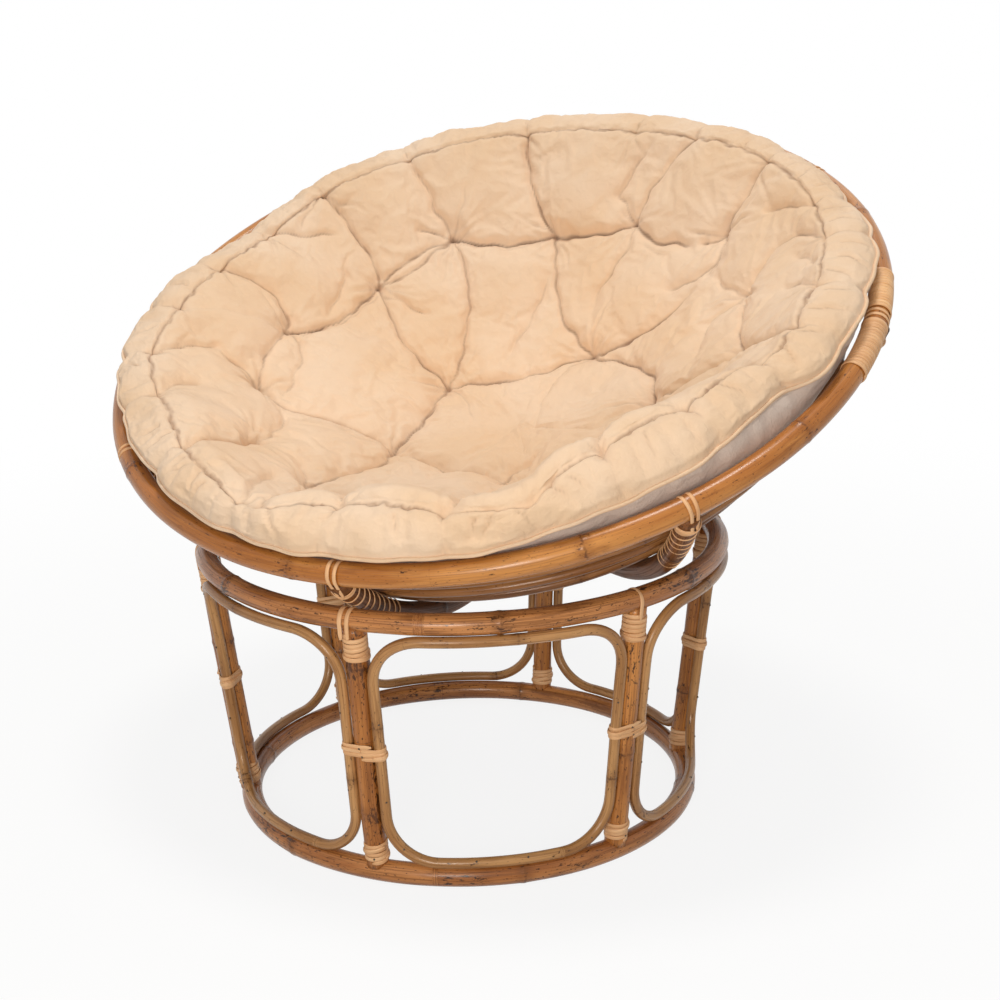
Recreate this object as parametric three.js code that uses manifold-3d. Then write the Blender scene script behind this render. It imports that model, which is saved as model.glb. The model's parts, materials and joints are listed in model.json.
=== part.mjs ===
// Papasan chair: a shallow round bowl of rattan poles with a tufted cushion, resting loosely
// in a round rattan base of two rings, six posts and six bent panel loops, bound with cane.
// Millimetres, +Z up. The bowl's opening leans towards -Y, the front of the chair.
import * as THREE from "three";
import { mergeVertices } from "three/addons/utils/BufferGeometryUtils.js";
import Module from "manifold-3d";

const wasm = await Module();
wasm.setup();

// Driving dimensions of the base, in millimetres and degrees
const BASE_HEIGHT = 375;
const TOP_RING_RADIUS = 344;
const BOTTOM_RING_RADIUS = 304;
const BASE_POLE_RADIUS = 14;
const FOOT_WEAR = 1;
const POST_RADIUS = 14;
const POST_COUNT = 6;
const FRONT_POST_ANGLE = -85.1;
const LOOP_POLE_RADIUS = 7;
const LOOP_CORNER_RADIUS = 62;
const LOOP_SIDE_OUTSET = 5;
const LOOP_SEAT_ANGLE = 72;

// Driving dimensions of the bowl. The ribs are spaced by hand, so their angles are listed,
// from the front one anticlockwise. The rim's pole is joined over the third rib.
const RIM_RADIUS = 520;
const RIM_POLE_RADIUS = 15;
const BOWL_DEPTH = 326;
const BOWL_TILT = 24.7;
const RIB_RADIUS = 14;
const RIB_OUTSET = 6.5;
const RIB_ANGLES = [0, 47, 93, 136, 180, 223, 267, 311];
const JOINT_RIB = 2;
const RIB_END_RADIUS = 60;
const RIB_FLAT_LENGTH = 80;
const HOOP_POLE_RADIUS = 6.5;
const HOOP_PLACE_SHARES = [0.872, 0.794, 0.7, 0.53, 0.358, 0.171];

// Driving dimensions of the cane bindings
const CANE_WIDTH = 5.4;
const LASH_WIDTH = 3.6;
const CANE_THICKNESS = 1.2;
const CANE_GAP = 0.5;
const TOP_BINDING_TURNS = 5;
const MIDDLE_BINDING_TURNS = 3;
const BOTTOM_BINDING_TURNS = 4;
const JOINT_BINDING_TURNS = [15, 13];
const LASHED_HOOPS = 2;

// Driving dimensions of the cushion, which is cut to fit the rim
const CUSHION_THICKNESS = 108;
const CUSHION_EDGE_INSET = 8;
const CUSHION_EDGE_HEIGHT = 34;
const CUSHION_CROWN_INSET = 36;
const CUSHION_CROWN_HEIGHT = 54;
const CUSHION_SEAM_INSET = 65;
const CUSHION_SEAM_HEIGHT = 46;
const CUSHION_FULL_ANGLE = 310;
const CUSHION_CROWN_SWELL = 32;
const CUSHION_SEAM_SWELL = 28;
const CUSHION_WALL_SWELL = 46;
const CUSHION_WALL_INSET = 102;
const CUSHION_WALL_SPREAD = 52;
const OUTER_TUFT_SHARE = 0.745;
const OUTER_TUFT_COUNT = 15;
const OUTER_TUFT_ANGLE = 3;
const INNER_TUFT_SHARE = 0.33;
const INNER_TUFT_COUNT = 5;
const INNER_TUFT_ANGLE = 10;
const TUFT_DEPTH = 30;
const TUFT_SPREAD = 34;
const CHANNEL_DEPTH = 9;

// The space left between pieces that touch
const CLEARANCE = 0.3;

// Counts that set how finely curves are cut
const POLE_SIDES = 10;
const RIB_SIDES = 8;
const THIN_POLE_SIDES = 6;
const BASE_RING_STEPS = 8 * POST_COUNT;
const RIM_STEPS_PER_RIB = 8;
const HOOP_STEPS_PER_RIB = [4, 4, 4, 3, 3, 2];
const LOOP_CORNER_STEPS = 4;
const LOOP_END_STEPS = 4;
const TURN_STEPS = 8;
const STRAP_CORNERS = 6;
const CUSHION_COLUMNS = 3 * OUTER_TUFT_COUNT;

const radians = THREE.MathUtils.degToRad;
const lerp = THREE.MathUtils.lerp;
const FULL_TURN = 2 * Math.PI;

// Heights and curves that follow from the driving dimensions
const bottomRingHeight = BASE_POLE_RADIUS - FOOT_WEAR;
const topRingHeight = BASE_HEIGHT - BASE_POLE_RADIUS;
const bowlCurve = (RIM_RADIUS ** 2 + BOWL_DEPTH ** 2) / (2 * BOWL_DEPTH);
const rimDrop = bowlCurve - BOWL_DEPTH;
const ribCurve = bowlCurve + RIB_OUTSET;
const hoopCurve = ribCurve - RIB_RADIUS - CLEARANCE - HOOP_POLE_RADIUS;
const rimAngle = Math.asin(RIM_RADIUS / bowlCurve);
const hoopAngles = HOOP_PLACE_SHARES.map((share) => share * rimAngle);
const ribAngles = RIB_ANGLES.map(radians);
const canePitch = CANE_WIDTH + CANE_GAP;

// A strap lies beside the middle of its pole, so that it turns smoothly into the winding
const postStrapSide = (POST_RADIUS + CLEARANCE) * Math.tan(Math.PI / TURN_STEPS);

// The bowl sits in the base as a ball sits in a ring, cane on cane, and is turned so that its
// front rib rests on the strap of the front post
const postEnd = { ringOut: 0, ringRadius: BASE_POLE_RADIUS, poleRadius: POST_RADIUS };
const ribEnd = { ringOut: -RIB_OUTSET, ringRadius: RIM_POLE_RADIUS, poleRadius: RIB_RADIUS };
const ribSeat = RIB_RADIUS + CLEARANCE + CANE_THICKNESS;
const seatReach = ribCurve + ribSeat + strapTurn(postEnd).reach;
const seatDrop = Math.sqrt(seatReach ** 2 - TOP_RING_RADIUS ** 2);
const bowlCentreHeight = topRingHeight + seatDrop;
const seatAngle = radians(FRONT_POST_ANGLE) - postStrapSide / TOP_RING_RADIUS;
const seat = new THREE.Vector3(
  TOP_RING_RADIUS * Math.cos(seatAngle),
  TOP_RING_RADIUS * Math.sin(seatAngle),
  -seatDrop,
).applyAxisAngle(new THREE.Vector3(1, 0, 0), -radians(BOWL_TILT));
const frontRibAngle = Math.atan2(seat.y, seat.x);
const restAngle = Math.acos(-seat.z / seatReach);

const rattan = new THREE.MeshStandardMaterial({ color: 0xa9713a, roughness: 0.38, metalness: 0 });
const paleRattan = new THREE.MeshStandardMaterial({ color: 0xc09a66, roughness: 0.45, metalness: 0 });
const cane = new THREE.MeshStandardMaterial({ color: 0xd9b48c, roughness: 0.55, metalness: 0 });
const canvas = new THREE.MeshStandardMaterial({ color: 0xe6cfb0, roughness: 0.9, metalness: 0 });

// How a strap turns over the ring at a pole's end. The ring's middle is `ringOut` from the
// pole's. It meets the ring at one angle and leaves it at another, and has corners between.
function strapTurn({ ringOut, ringRadius, poleRadius }) {
  const ringGrip = ringRadius + CLEARANCE;
  const poleGrip = poleRadius + CLEARANCE;
  const poleStart = ringRadius / 2;
  const across = poleGrip - ringOut;
  const leave = Math.acos(ringGrip / Math.hypot(across, poleStart)) - Math.atan2(poleStart, across);
  const meet = Math.PI + Math.acos((poleGrip + ringOut) / ringGrip);
  const step = (meet - leave) / STRAP_CORNERS;
  const cornerRadius = ringGrip / Math.cos(step / 2);
  const reach = cornerRadius + CANE_THICKNESS;
  const slants = across > ringGrip;
  return { ringGrip, poleGrip, poleStart, leave, meet, step, cornerRadius, reach, slants };
}

function named(name, geometry, material) {
  const mesh = new THREE.Mesh(geometry, material);
  mesh.name = name;
  return mesh;
}

function makeGeometry(positions, triangles) {
  const geometry = new THREE.BufferGeometry();
  geometry.setAttribute("position", new THREE.Float32BufferAttribute(positions, 3));
  geometry.setIndex(triangles);
  geometry.computeVertexNormals();
  return geometry;
}

// A geometry as a solid, and back, for the coped joints
function toSolid(geometry) {
  const bare = geometry.clone();
  bare.deleteAttribute("normal");
  bare.deleteAttribute("uv");
  const merged = mergeVertices(bare);
  const mesh = new wasm.Mesh({
    numProp: 3,
    vertProperties: Float32Array.from(merged.attributes.position.array),
    triVerts: Uint32Array.from(merged.index.array),
  });
  return new wasm.Manifold(mesh);
}

function fromSolid(solid) {
  const mesh = solid.getMesh();
  return makeGeometry(Array.from(mesh.vertProperties), Array.from(mesh.triVerts));
}

// Sweeps a section along a path of { point, normal }. The section is a list of
// [height along the normal, offset across the path], anticlockwise. A twisted face is split
// along the diagonal that lies further up, so that a strip never dips into what it lies on.
function sweep(path, section, closed) {
  const count = path.length;
  const at = (i) => path[(i + count) % count];
  const corners = [];
  const ups = [];
  for (let i = 0; i < count; i++) {
    const before = closed || i > 0 ? at(i - 1) : at(i);
    const after = closed || i < count - 1 ? at(i + 1) : at(i);
    const along = after.point.clone().sub(before.point).normalize();
    const across = along.clone().cross(at(i).normal).normalize();
    const up = across.clone().cross(along);
    ups.push(up);
    for (const [height, offset] of section) {
      const corner = at(i).point.clone();
      corners.push(corner.addScaledVector(up, height).addScaledVector(across, offset));
    }
  }
  const sides = section.length;
  const triangles = [];
  const spans = closed ? count : count - 1;
  for (let i = 0; i < spans; i++) {
    const here = i * sides;
    const next = ((i + 1) % count) * sides;
    const up = ups[i].clone().add(ups[(i + 1) % count]);
    for (let j = 0; j < sides; j++) {
      const [a, b] = [here + j, here + ((j + 1) % sides)];
      const [c, d] = [next + ((j + 1) % sides), next + j];
      const [rising, falling] = [corners[a].clone().add(corners[c]), corners[b].clone().add(corners[d])];
      if (rising.dot(up) < falling.dot(up)) triangles.push(a, b, d, b, c, d);
      else triangles.push(a, b, c, a, c, d);
    }
  }
  if (!closed) {
    const last = (count - 1) * sides;
    for (let j = 1; j < sides - 1; j++) {
      triangles.push(0, j + 1, j);
      triangles.push(last, last + j, last + j + 1);
    }
  }
  return makeGeometry(corners.flatMap((corner) => corner.toArray()), triangles);
}

function roundSection(radius, sides) {
  const section = [];
  for (let i = 0; i < sides; i++) {
    const turn = (FULL_TURN * i) / sides;
    section.push([radius * Math.cos(turn), radius * Math.sin(turn)]);
  }
  return section;
}

function halfRoundSection(width) {
  return [
    [0, -width / 2],
    [CANE_THICKNESS, 0],
    [0, width / 2],
  ];
}

// A base ring, bent from straight flats that touch its circle, one of them across each post
const ringStretch = 1 / Math.cos(Math.PI / BASE_RING_STEPS);

function makeBaseRing(radius, tube, sides) {
  const ring = new THREE.TorusGeometry(radius * ringStretch, tube, sides, BASE_RING_STEPS);
  return ring.rotateZ(Math.PI / BASE_RING_STEPS);
}

// The lower ring is worn flat underneath

function makeBottomRing() {
  const wearAngle = Math.acos(bottomRingHeight / BASE_POLE_RADIUS);
  const profile = [];
  for (let i = 0; i <= POLE_SIDES; i++) {
    const turn = -Math.PI / 2 + wearAngle + ((FULL_TURN - 2 * wearAngle) * i) / POLE_SIDES;
    const x = BOTTOM_RING_RADIUS * ringStretch + BASE_POLE_RADIUS * Math.cos(turn);
    profile.push(new THREE.Vector2(x, BASE_POLE_RADIUS * Math.sin(turn)));
  }
  profile.push(profile[0].clone());
  const ring = new THREE.LatheGeometry(profile, BASE_RING_STEPS);
  return ring.rotateX(Math.PI / 2).rotateZ(Math.PI / 2 + Math.PI / BASE_RING_STEPS);
}

// Copies of the rings, a clearance thicker, that cope the ends of the posts
function makeRingCutters() {
  const tube = BASE_POLE_RADIUS + CLEARANCE;
  const top = makeBaseRing(TOP_RING_RADIUS, tube, POLE_SIDES);
  top.translate(0, 0, topRingHeight);
  const bottom = makeBaseRing(BOTTOM_RING_RADIUS, tube, 2 * POLE_SIDES);
  bottom.translate(0, 0, bottomRingHeight);
  return [top, bottom].map((ring) => toSolid(ring.rotateZ(radians(FRONT_POST_ANGLE))));
}

// A post's middle line, from ring to ring, and the frame of its end at either ring:
// `outward` from the chair, `away` along the post from that ring and `sideways` round it
function postFrame(angle, fromTop) {
  const radial = new THREE.Vector3(Math.cos(angle), Math.sin(angle), 0);
  const foot = radial.clone().multiplyScalar(BOTTOM_RING_RADIUS);
  foot.z = bottomRingHeight;
  const head = radial.clone().multiplyScalar(TOP_RING_RADIUS);
  head.z = topRingHeight;
  const origin = fromTop ? head : foot;
  const away = (fromTop ? foot : head).clone().sub(origin);
  const length = away.length();
  away.normalize();
  const outward = radial.clone().addScaledVector(away, -radial.dot(away)).normalize();
  const sideways = away.clone().cross(outward);
  return { origin, away, outward, sideways, length };
}

function makePost(angle, ringCutters) {
  const frame = postFrame(angle, false);
  const saddle = BASE_POLE_RADIUS / 2;
  const length = frame.length - 2 * saddle;
  const pole = new THREE.CylinderGeometry(POST_RADIUS, POST_RADIUS, length, POLE_SIDES);
  pole.rotateX(Math.PI / 2);
  const turned = new THREE.Matrix4().makeBasis(frame.outward, frame.sideways, frame.away);
  turned.setPosition(frame.origin.clone().addScaledVector(frame.away, frame.length / 2));
  pole.applyMatrix4(turned);
  let solid = toSolid(pole);
  for (const cutter of ringCutters) solid = solid.subtract(cutter);
  return fromSolid(solid);
}

// A panel loop is a rounded four-sided bend between two posts. Its ends lie on the rings and
// its sides against the posts, `loopFromPost` round the chair from a post's middle.
const loopSeat = BASE_POLE_RADIUS + LOOP_POLE_RADIUS + CLEARANCE;
const loopSideGap = POST_RADIUS + LOOP_POLE_RADIUS + CLEARANCE;
const loopFromPost = Math.sqrt(loopSideGap ** 2 - LOOP_SIDE_OUTSET ** 2);
const loopRise = loopSeat * Math.sin(radians(LOOP_SEAT_ANGLE));
const loopLow = bottomRingHeight + loopRise;
const loopHigh = topRingHeight - loopRise;
const loopMiddle = (loopLow + loopHigh) / 2;

function postLineRadius(height) {
  const climb = (height - bottomRingHeight) / (topRingHeight - bottomRingHeight);
  return lerp(BOTTOM_RING_RADIUS, TOP_RING_RADIUS, climb);
}

function loopRadius(height) {
  const end = height < loopMiddle ? loopLow : loopHigh;
  const ring = ringStretch * (height < loopMiddle ? BOTTOM_RING_RADIUS : TOP_RING_RADIUS);
  const endOutset = ring + loopSeat * Math.cos(radians(LOOP_SEAT_ANGLE)) - postLineRadius(end);
  const reach = Math.abs((height - loopMiddle) / (end - loopMiddle));
  return postLineRadius(height) + lerp(LOOP_SIDE_OUTSET, endOutset, reach ** 3);
}

// One side of a loop, upwards, with the halves of the bends that it ends in
function loopSidePlaces() {
  const places = [];
  const addCorner = (centreHeight, from, to) => {
    for (let i = 0; i <= LOOP_CORNER_STEPS; i++) {
      const turn = lerp(from, to, i / LOOP_CORNER_STEPS);
      const height = centreHeight + LOOP_CORNER_RADIUS * Math.sin(turn);
      const fromPost = loopFromPost + LOOP_CORNER_RADIUS * (1 - Math.cos(turn));
      places.push({ height, angle: fromPost / postLineRadius(height) });
    }
  };
  addCorner(loopLow + LOOP_CORNER_RADIUS, -Math.PI / 2, 0);
  places.push({ height: loopMiddle, angle: loopFromPost / postLineRadius(loopMiddle) });
  addCorner(loopHigh - LOOP_CORNER_RADIUS, 0, Math.PI / 2);
  return places.map(({ height, angle }) => ({ height, angle: Math.PI / POST_COUNT - angle }));
}

// The stretch of a loop that lies along a ring, from one corner to its mirror image
function loopEndPlaces({ height, angle }) {
  const places = [];
  for (let i = 1; i < LOOP_END_STEPS; i++) {
    places.push({ height, angle: lerp(angle, -angle, i / LOOP_END_STEPS) });
  }
  return places;
}

function makeLoop(panelAngle) {
  const right = loopSidePlaces();
  const left = right.map(({ height, angle }) => ({ height, angle: -angle })).reverse();
  const round = [...right, ...loopEndPlaces(right.at(-1)), ...left, ...loopEndPlaces(left.at(-1))];
  const path = round.map(({ height, angle }) => {
    const turn = panelAngle + angle;
    const normal = new THREE.Vector3(Math.cos(turn), Math.sin(turn), 0);
    const point = normal.clone().multiplyScalar(loopRadius(height));
    point.z = height;
    return { point, normal };
  });
  return sweep(path, roundSection(LOOP_POLE_RADIUS, THIN_POLE_SIDES), true);
}

// Where a loop's side passes the middle of a post, in that post's frame
function loopBesidePost() {
  const postLine = postLineRadius(loopMiddle);
  const turn = loopFromPost / postLine;
  const reach = postLine + LOOP_SIDE_OUTSET;
  return { out: reach * Math.cos(turn) - postLine, side: reach * Math.sin(turn) };
}

// A bend turns pole coordinates, (out from the pole, sideways, along the pole), into the
// model's. A curved pole is made of straight flats, and what is wound on it follows them.
function straightBend(frame, mirror) {
  return (out, side, along) => {
    const point = frame.origin.clone().addScaledVector(frame.outward, out);
    return point.addScaledVector(frame.sideways, mirror * side).addScaledVector(frame.away, along);
  };
}

function ribArc(out, side, along) {
  const angle = rimAngle - along / ribCurve;
  const reach = ribCurve + out;
  return new THREE.Vector3(reach * Math.sin(angle), side, -reach * Math.cos(angle));
}

// Places along a rib, from the rim: where the front rib rests on the base, and each hoop.
// The lashing has a turn at the resting place, so that stays clear of the turns beside it.
const lashSpread = HOOP_POLE_RADIUS + LASH_WIDTH;
const lashStart = RIM_POLE_RADIUS + CLEARANCE + LASH_WIDTH / 2;
const hoopPlaces = hoopAngles.map((angle) => (rimAngle - angle) * ribCurve);
const highestRest = lashStart + lashSpread;
const lowestRest = hoopPlaces[0] - 2 * lashSpread;
const seatPlace = (rimAngle - restAngle) * ribCurve;
const restPlace = Math.max(highestRest, Math.min(seatPlace, lowestRest));

function ribCorners() {
  const corners = [RIM_POLE_RADIUS / 2, restPlace];
  for (const hoop of hoopPlaces) {
    const last = corners.at(-1);
    if (hoop - last > RIB_FLAT_LENGTH) corners.push((last + hoop) / 2);
    corners.push(hoop);
  }
  corners.push((rimAngle - Math.asin(RIB_END_RADIUS / ribCurve)) * ribCurve);
  return corners;
}

const ribStations = ribCorners();

function ribBend(out, side, along) {
  if (along < ribStations[0]) return ribArc(out, -side, along);
  const flat = ribStations.findLastIndex((station) => station <= along);
  const [from, to] = ribStations.slice(flat, flat + 2);
  const share = (along - from) / (to - from);
  return ribArc(out, -side, from).lerp(ribArc(out, -side, to), share);
}

// A ring of the bowl is bent from straight flats that touch its circle, one of them across
// each rib. These are its corners: their angles, and how far outside the circle they reach.
function ringCorners(stepsPerRib) {
  const touching = [];
  ribAngles.forEach((angle, i) => {
    const next = i < ribAngles.length - 1 ? ribAngles[i + 1] : ribAngles[0] + FULL_TURN;
    for (let j = 0; j < stepsPerRib; j++) touching.push(lerp(angle, next, j / stepsPerRib));
  });
  return touching.map((angle, i) => {
    const next = i < touching.length - 1 ? touching[i + 1] : touching[0] + FULL_TURN;
    return { angle: (angle + next) / 2, stretch: 1 / Math.cos((next - angle) / 2) };
  });
}

const rimCorners = ringCorners(RIM_STEPS_PER_RIB);

function rimCorner(k) {
  const turns = Math.floor(k / rimCorners.length);
  const { angle, stretch } = rimCorners[k - turns * rimCorners.length];
  return { angle: angle + turns * FULL_TURN, reach: RIM_RADIUS * stretch };
}

function rimBend(out, side, along) {
  const angle = along / RIM_RADIUS;
  let k = -rimCorners.length;
  while (rimCorner(k + 1).angle <= angle) k++;
  const [from, to] = [rimCorner(k), rimCorner(k + 1)];
  const place = (corner) => {
    const reach = corner.reach + out;
    return new THREE.Vector3(reach * Math.cos(corner.angle), reach * Math.sin(corner.angle), -side);
  };
  return place(from).lerp(place(to), (angle - from.angle) / (to.angle - from.angle));
}

// Flats of a strip drawn round a bundle of poles: the corners where its flats meet.
// Each pole is { out, side, radius }.
function bundleCorners(poles) {
  const support = (k) => {
    const turn = (FULL_TURN * k) / TURN_STEPS;
    const [c, s] = [Math.cos(turn), Math.sin(turn)];
    const reaches = poles.map((pole) => pole.out * c + pole.side * s + pole.radius + CLEARANCE);
    return { c, s, reach: Math.max(...reaches) };
  };
  const corners = [];
  for (let k = 0; k < TURN_STEPS; k++) {
    const [a, b] = [support(k), support(k + 1)];
    const area = a.c * b.s - a.s * b.c;
    const out = (a.reach * b.s - b.reach * a.s) / area;
    const side = (a.c * b.reach - b.c * a.reach) / area;
    const lean = (FULL_TURN * (k + 1 / 2)) / TURN_STEPS;
    corners.push({ out, side, normal: [Math.cos(lean), Math.sin(lean), 0] });
  }
  return corners;
}

// Places of a strip wound round a bundle, climbing steadily from `start`
function windPlaces(poles, start, turns) {
  const corners = bundleCorners(poles);
  const places = [];
  for (let k = 0; k <= turns * TURN_STEPS; k++) {
    places.push({ ...corners[k % TURN_STEPS], along: start + (canePitch * k) / TURN_STEPS });
  }
  return places;
}

// Places of a strip that goes up the inside of a pole, over the ring at its end, down the
// outside and round into a winding, whose first flat climbs by `advance`
function strapPlaces(end, innerEnd, windStart, advance) {
  const { ringGrip, poleGrip, poleStart, leave, meet, step, cornerRadius, slants } = strapTurn(end);
  const side = -poleGrip * Math.tan(Math.PI / TURN_STEPS);
  const places = [{ out: -poleGrip, side, along: innerEnd, normal: [-1, 0, 0] }];
  const addTurn = (turn, radius) => {
    const [c, s] = [Math.cos(turn), Math.sin(turn)];
    places.push({ out: end.ringOut + radius * c, side, along: -radius * s, normal: [c, 0, -s] });
  };
  addTurn(meet, ringGrip);
  for (let i = 0; i < STRAP_CORNERS; i++) addTurn(meet - step * (i + 1 / 2), cornerRadius);
  addTurn(leave, ringGrip);
  if (slants) places.push({ out: poleGrip, side, along: poleStart, normal: [1, 0, 0] });
  for (const turn of [0, Math.PI / 4, Math.PI / 2]) {
    const along = windStart - advance / 2 + side - side * Math.sin(turn);
    places.push({ out: poleGrip, side: side * Math.cos(turn), along, normal: [1, 0, 0] });
  }
  return places;
}

function bendPath(places, bend) {
  return places.map(({ out, side, along, normal }) => {
    const point = bend(out, side, along);
    const [up, over, ahead] = normal;
    const tip = bend(out + up, side + over, along + ahead);
    return { point, normal: tip.sub(point).normalize() };
  });
}

// The least gap between the turns of a strip, measured between the corners of its sections
let leastGap = Infinity;

function measureGap(geometry, sides) {
  const corners = geometry.attributes.position;
  const steps = corners.count / sides;
  const [a, b] = [new THREE.Vector3(), new THREE.Vector3()];
  for (let i = 0; i < steps; i++) {
    for (let j = i + TURN_STEPS / 2; j < steps; j++) {
      for (let m = 0; m < sides * sides; m++) {
        a.fromBufferAttribute(corners, i * sides + (m % sides));
        b.fromBufferAttribute(corners, j * sides + Math.floor(m / sides));
        leastGap = Math.min(leastGap, a.distanceTo(b));
      }
    }
  }
}

function makeStrip(places, bend, width) {
  const section = halfRoundSection(width);
  const geometry = sweep(bendPath(places, bend), section, false);
  measureGap(geometry, section.length);
  return geometry;
}

// The bindings of one post: head, with a strap over the ring, middle, round both loops, and foot
const windingStart = BASE_POLE_RADIUS + CLEARANCE + CANE_WIDTH / 2;
const barePost = { out: 0, side: 0, radius: POST_RADIUS };

function makeTopBinding(angle) {
  const innerEnd = windingStart - CANE_WIDTH / 2;
  const strap = strapPlaces(postEnd, innerEnd, windingStart, canePitch / TURN_STEPS);
  const winding = windPlaces([barePost], windingStart, TOP_BINDING_TURNS);
  return makeStrip([...strap, ...winding], straightBend(postFrame(angle, true), -1), CANE_WIDTH);
}

function makeMiddleBinding(angle) {
  const frame = postFrame(angle, false);
  const start = (frame.length - MIDDLE_BINDING_TURNS * canePitch) / 2;
  const { out, side } = loopBesidePost();
  const bundle = [
    barePost,
    { out, side, radius: LOOP_POLE_RADIUS },
    { out, side: -side, radius: LOOP_POLE_RADIUS },
  ];
  const winding = windPlaces(bundle, start, MIDDLE_BINDING_TURNS);
  return makeStrip(winding, straightBend(frame, 1), CANE_WIDTH);
}

function makeBottomBinding(angle) {
  const winding = windPlaces([barePost], windingStart, BOTTOM_BINDING_TURNS);
  return makeStrip(winding, straightBend(postFrame(angle, false), 1), CANE_WIDTH);
}

// The bowl's poles, in a frame whose origin is the middle of the ball that the bowl is part of
// and whose X axis points to the front rib
function makeBowlRing(corners, curve, angle, section) {
  const path = corners.map((corner) => {
    const [c, s] = [Math.cos(corner.angle), Math.sin(corner.angle)];
    const reach = curve * Math.sin(angle) * corner.stretch;
    const point = new THREE.Vector3(reach * c, reach * s, -curve * Math.cos(angle));
    const normal = new THREE.Vector3(Math.sin(angle) * c, Math.sin(angle) * s, -Math.cos(angle));
    return { point, normal };
  });
  return sweep(path, section, true);
}

function makeRim() {
  const section = roundSection(RIM_POLE_RADIUS, POLE_SIDES);
  return makeBowlRing(rimCorners, bowlCurve, rimAngle, section);
}

// A hoop lies inside the ribs, straight across each of them
function makeHoop(angle, stepsPerRib) {
  const section = roundSection(HOOP_POLE_RADIUS, THIN_POLE_SIDES);
  return makeBowlRing(ringCorners(stepsPerRib), hoopCurve, angle, section);
}

function makeRib() {
  const path = ribStations.map((along) => {
    const point = ribArc(0, 0, along);
    return { point, normal: point.clone().normalize() };
  });
  const pole = sweep(path, roundSection(RIB_RADIUS, RIB_SIDES), false);
  const grip = RIM_POLE_RADIUS + CLEARANCE;
  const rim = new THREE.CylinderGeometry(grip, grip, 4 * RIB_RADIUS, 2 * POLE_SIDES);
  rim.translate(RIM_RADIUS, 0, -rimDrop);
  return toSolid(pole).subtract(toSolid(rim));
}

// A rib's lashing goes over the rim and down the rib, with a turn where the front rib rests on
// the base, and crosses the two upper hoops. At each stop it passes straight round the outside.
function lashingStops() {
  const stops = [lashStart, restPlace];
  for (const hoop of hoopPlaces.slice(0, LASHED_HOOPS)) {
    stops.push(hoop - lashSpread, hoop + lashSpread);
  }
  return stops;
}

// The inside of a turn that crosses a hoop, over the flats of an eight-sided hoop
function crossingPlaces(hoop) {
  const grip = HOOP_POLE_RADIUS + CLEARANCE;
  const corner = grip * Math.tan(Math.PI / TURN_STEPS);
  const hoopOut = -(RIB_RADIUS + CLEARANCE + HOOP_POLE_RADIUS);
  const [lean, rise] = [Math.sin(Math.PI / TURN_STEPS), Math.cos(Math.PI / TURN_STEPS)];
  const flank = { out: hoopOut - corner, side: RIB_RADIUS - corner };
  const crest = { out: hoopOut - grip, side: 2 * corner };
  return [
    { ...flank, along: hoop - grip, normal: [-lean, 0, -rise] },
    { ...crest, along: hoop - corner, normal: [-rise, 0, -lean] },
    { ...crest, side: -crest.side, along: hoop + corner, normal: [-rise, 0, lean] },
    { ...flank, side: -flank.side, along: hoop + grip, normal: [-lean, 0, rise] },
  ];
}

function makeLashing() {
  const places = strapPlaces(ribEnd, lashStart + lashSpread / 2, lashStart, 0);
  const corners = bundleCorners([{ out: 0, side: 0, radius: RIB_RADIUS }]);
  const inside = TURN_STEPS / 2;
  const stops = lashingStops();
  for (let i = 0; i < stops.length - 1; i++) {
    const [from, to] = [stops[i], stops[i + 1]];
    const middle = (from + to) / 2;
    const crossing = hoopPlaces.some((hoop) => Math.abs(hoop - middle) < HOOP_POLE_RADIUS);
    for (let k = 0; k < TURN_STEPS; k++) {
      if (crossing && k === inside) places.push(...crossingPlaces(middle));
      if (crossing && (k === inside - 1 || k === inside)) continue;
      const climb = crossing ? Math.floor(k / inside) : k / (TURN_STEPS - 1);
      places.push({ ...corners[k], along: lerp(from, to, climb) });
    }
  }
  places.push({ ...corners[0], along: stops.at(-1) });
  return makeStrip(places, ribBend, LASH_WIDTH);
}

// The two bindings of the rim pole's joint, one on each side of a rib
function makeJointBinding(turns, direction) {
  const beside = RIB_RADIUS + 2 * CLEARANCE + CANE_THICKNESS + CANE_WIDTH / 2;
  const rib = ribAngles[JOINT_RIB] * RIM_RADIUS;
  const length = turns * canePitch;
  const start = direction > 0 ? rib + beside : rib - beside - length;
  const pole = { out: 0, side: 0, radius: RIM_POLE_RADIUS };
  return makeStrip(windPlaces([pole], start, turns), rimBend, CANE_WIDTH);
}

// The cushion's outline, from the middle of its underside out, up its side and over its crown
// to the middle of the seat: distance from the bowl's axis and height above the rim's middle.
// It lies on the lashings that cross the hoops, and fits inside the straps on the rim.
const crossingReach = HOOP_POLE_RADIUS + CLEARANCE + CANE_THICKNESS + CLEARANCE;
const cushionCurve = hoopCurve - crossingReach;
const cushionSide = RIM_RADIUS - strapTurn(ribEnd).reach - CLEARANCE;
const edgeRadius = RIM_RADIUS - CUSHION_EDGE_INSET;
const crownRadius = RIM_RADIUS - CUSHION_CROWN_INSET;
const seamRadius = RIM_RADIUS - CUSHION_SEAM_INSET;
const outerTuftRadius = seamRadius * OUTER_TUFT_SHARE;
const innerTuftRadius = seamRadius * INNER_TUFT_SHARE;
const DISH_POWER = 1.7;
const CROWN_SWELL_SHARE = 3 / 4;

function dishHeight(radius) {
  const middle = rimDrop - cushionCurve + CUSHION_THICKNESS;
  return lerp(middle, CUSHION_SEAM_HEIGHT, (radius / seamRadius) ** DISH_POWER);
}

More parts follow.
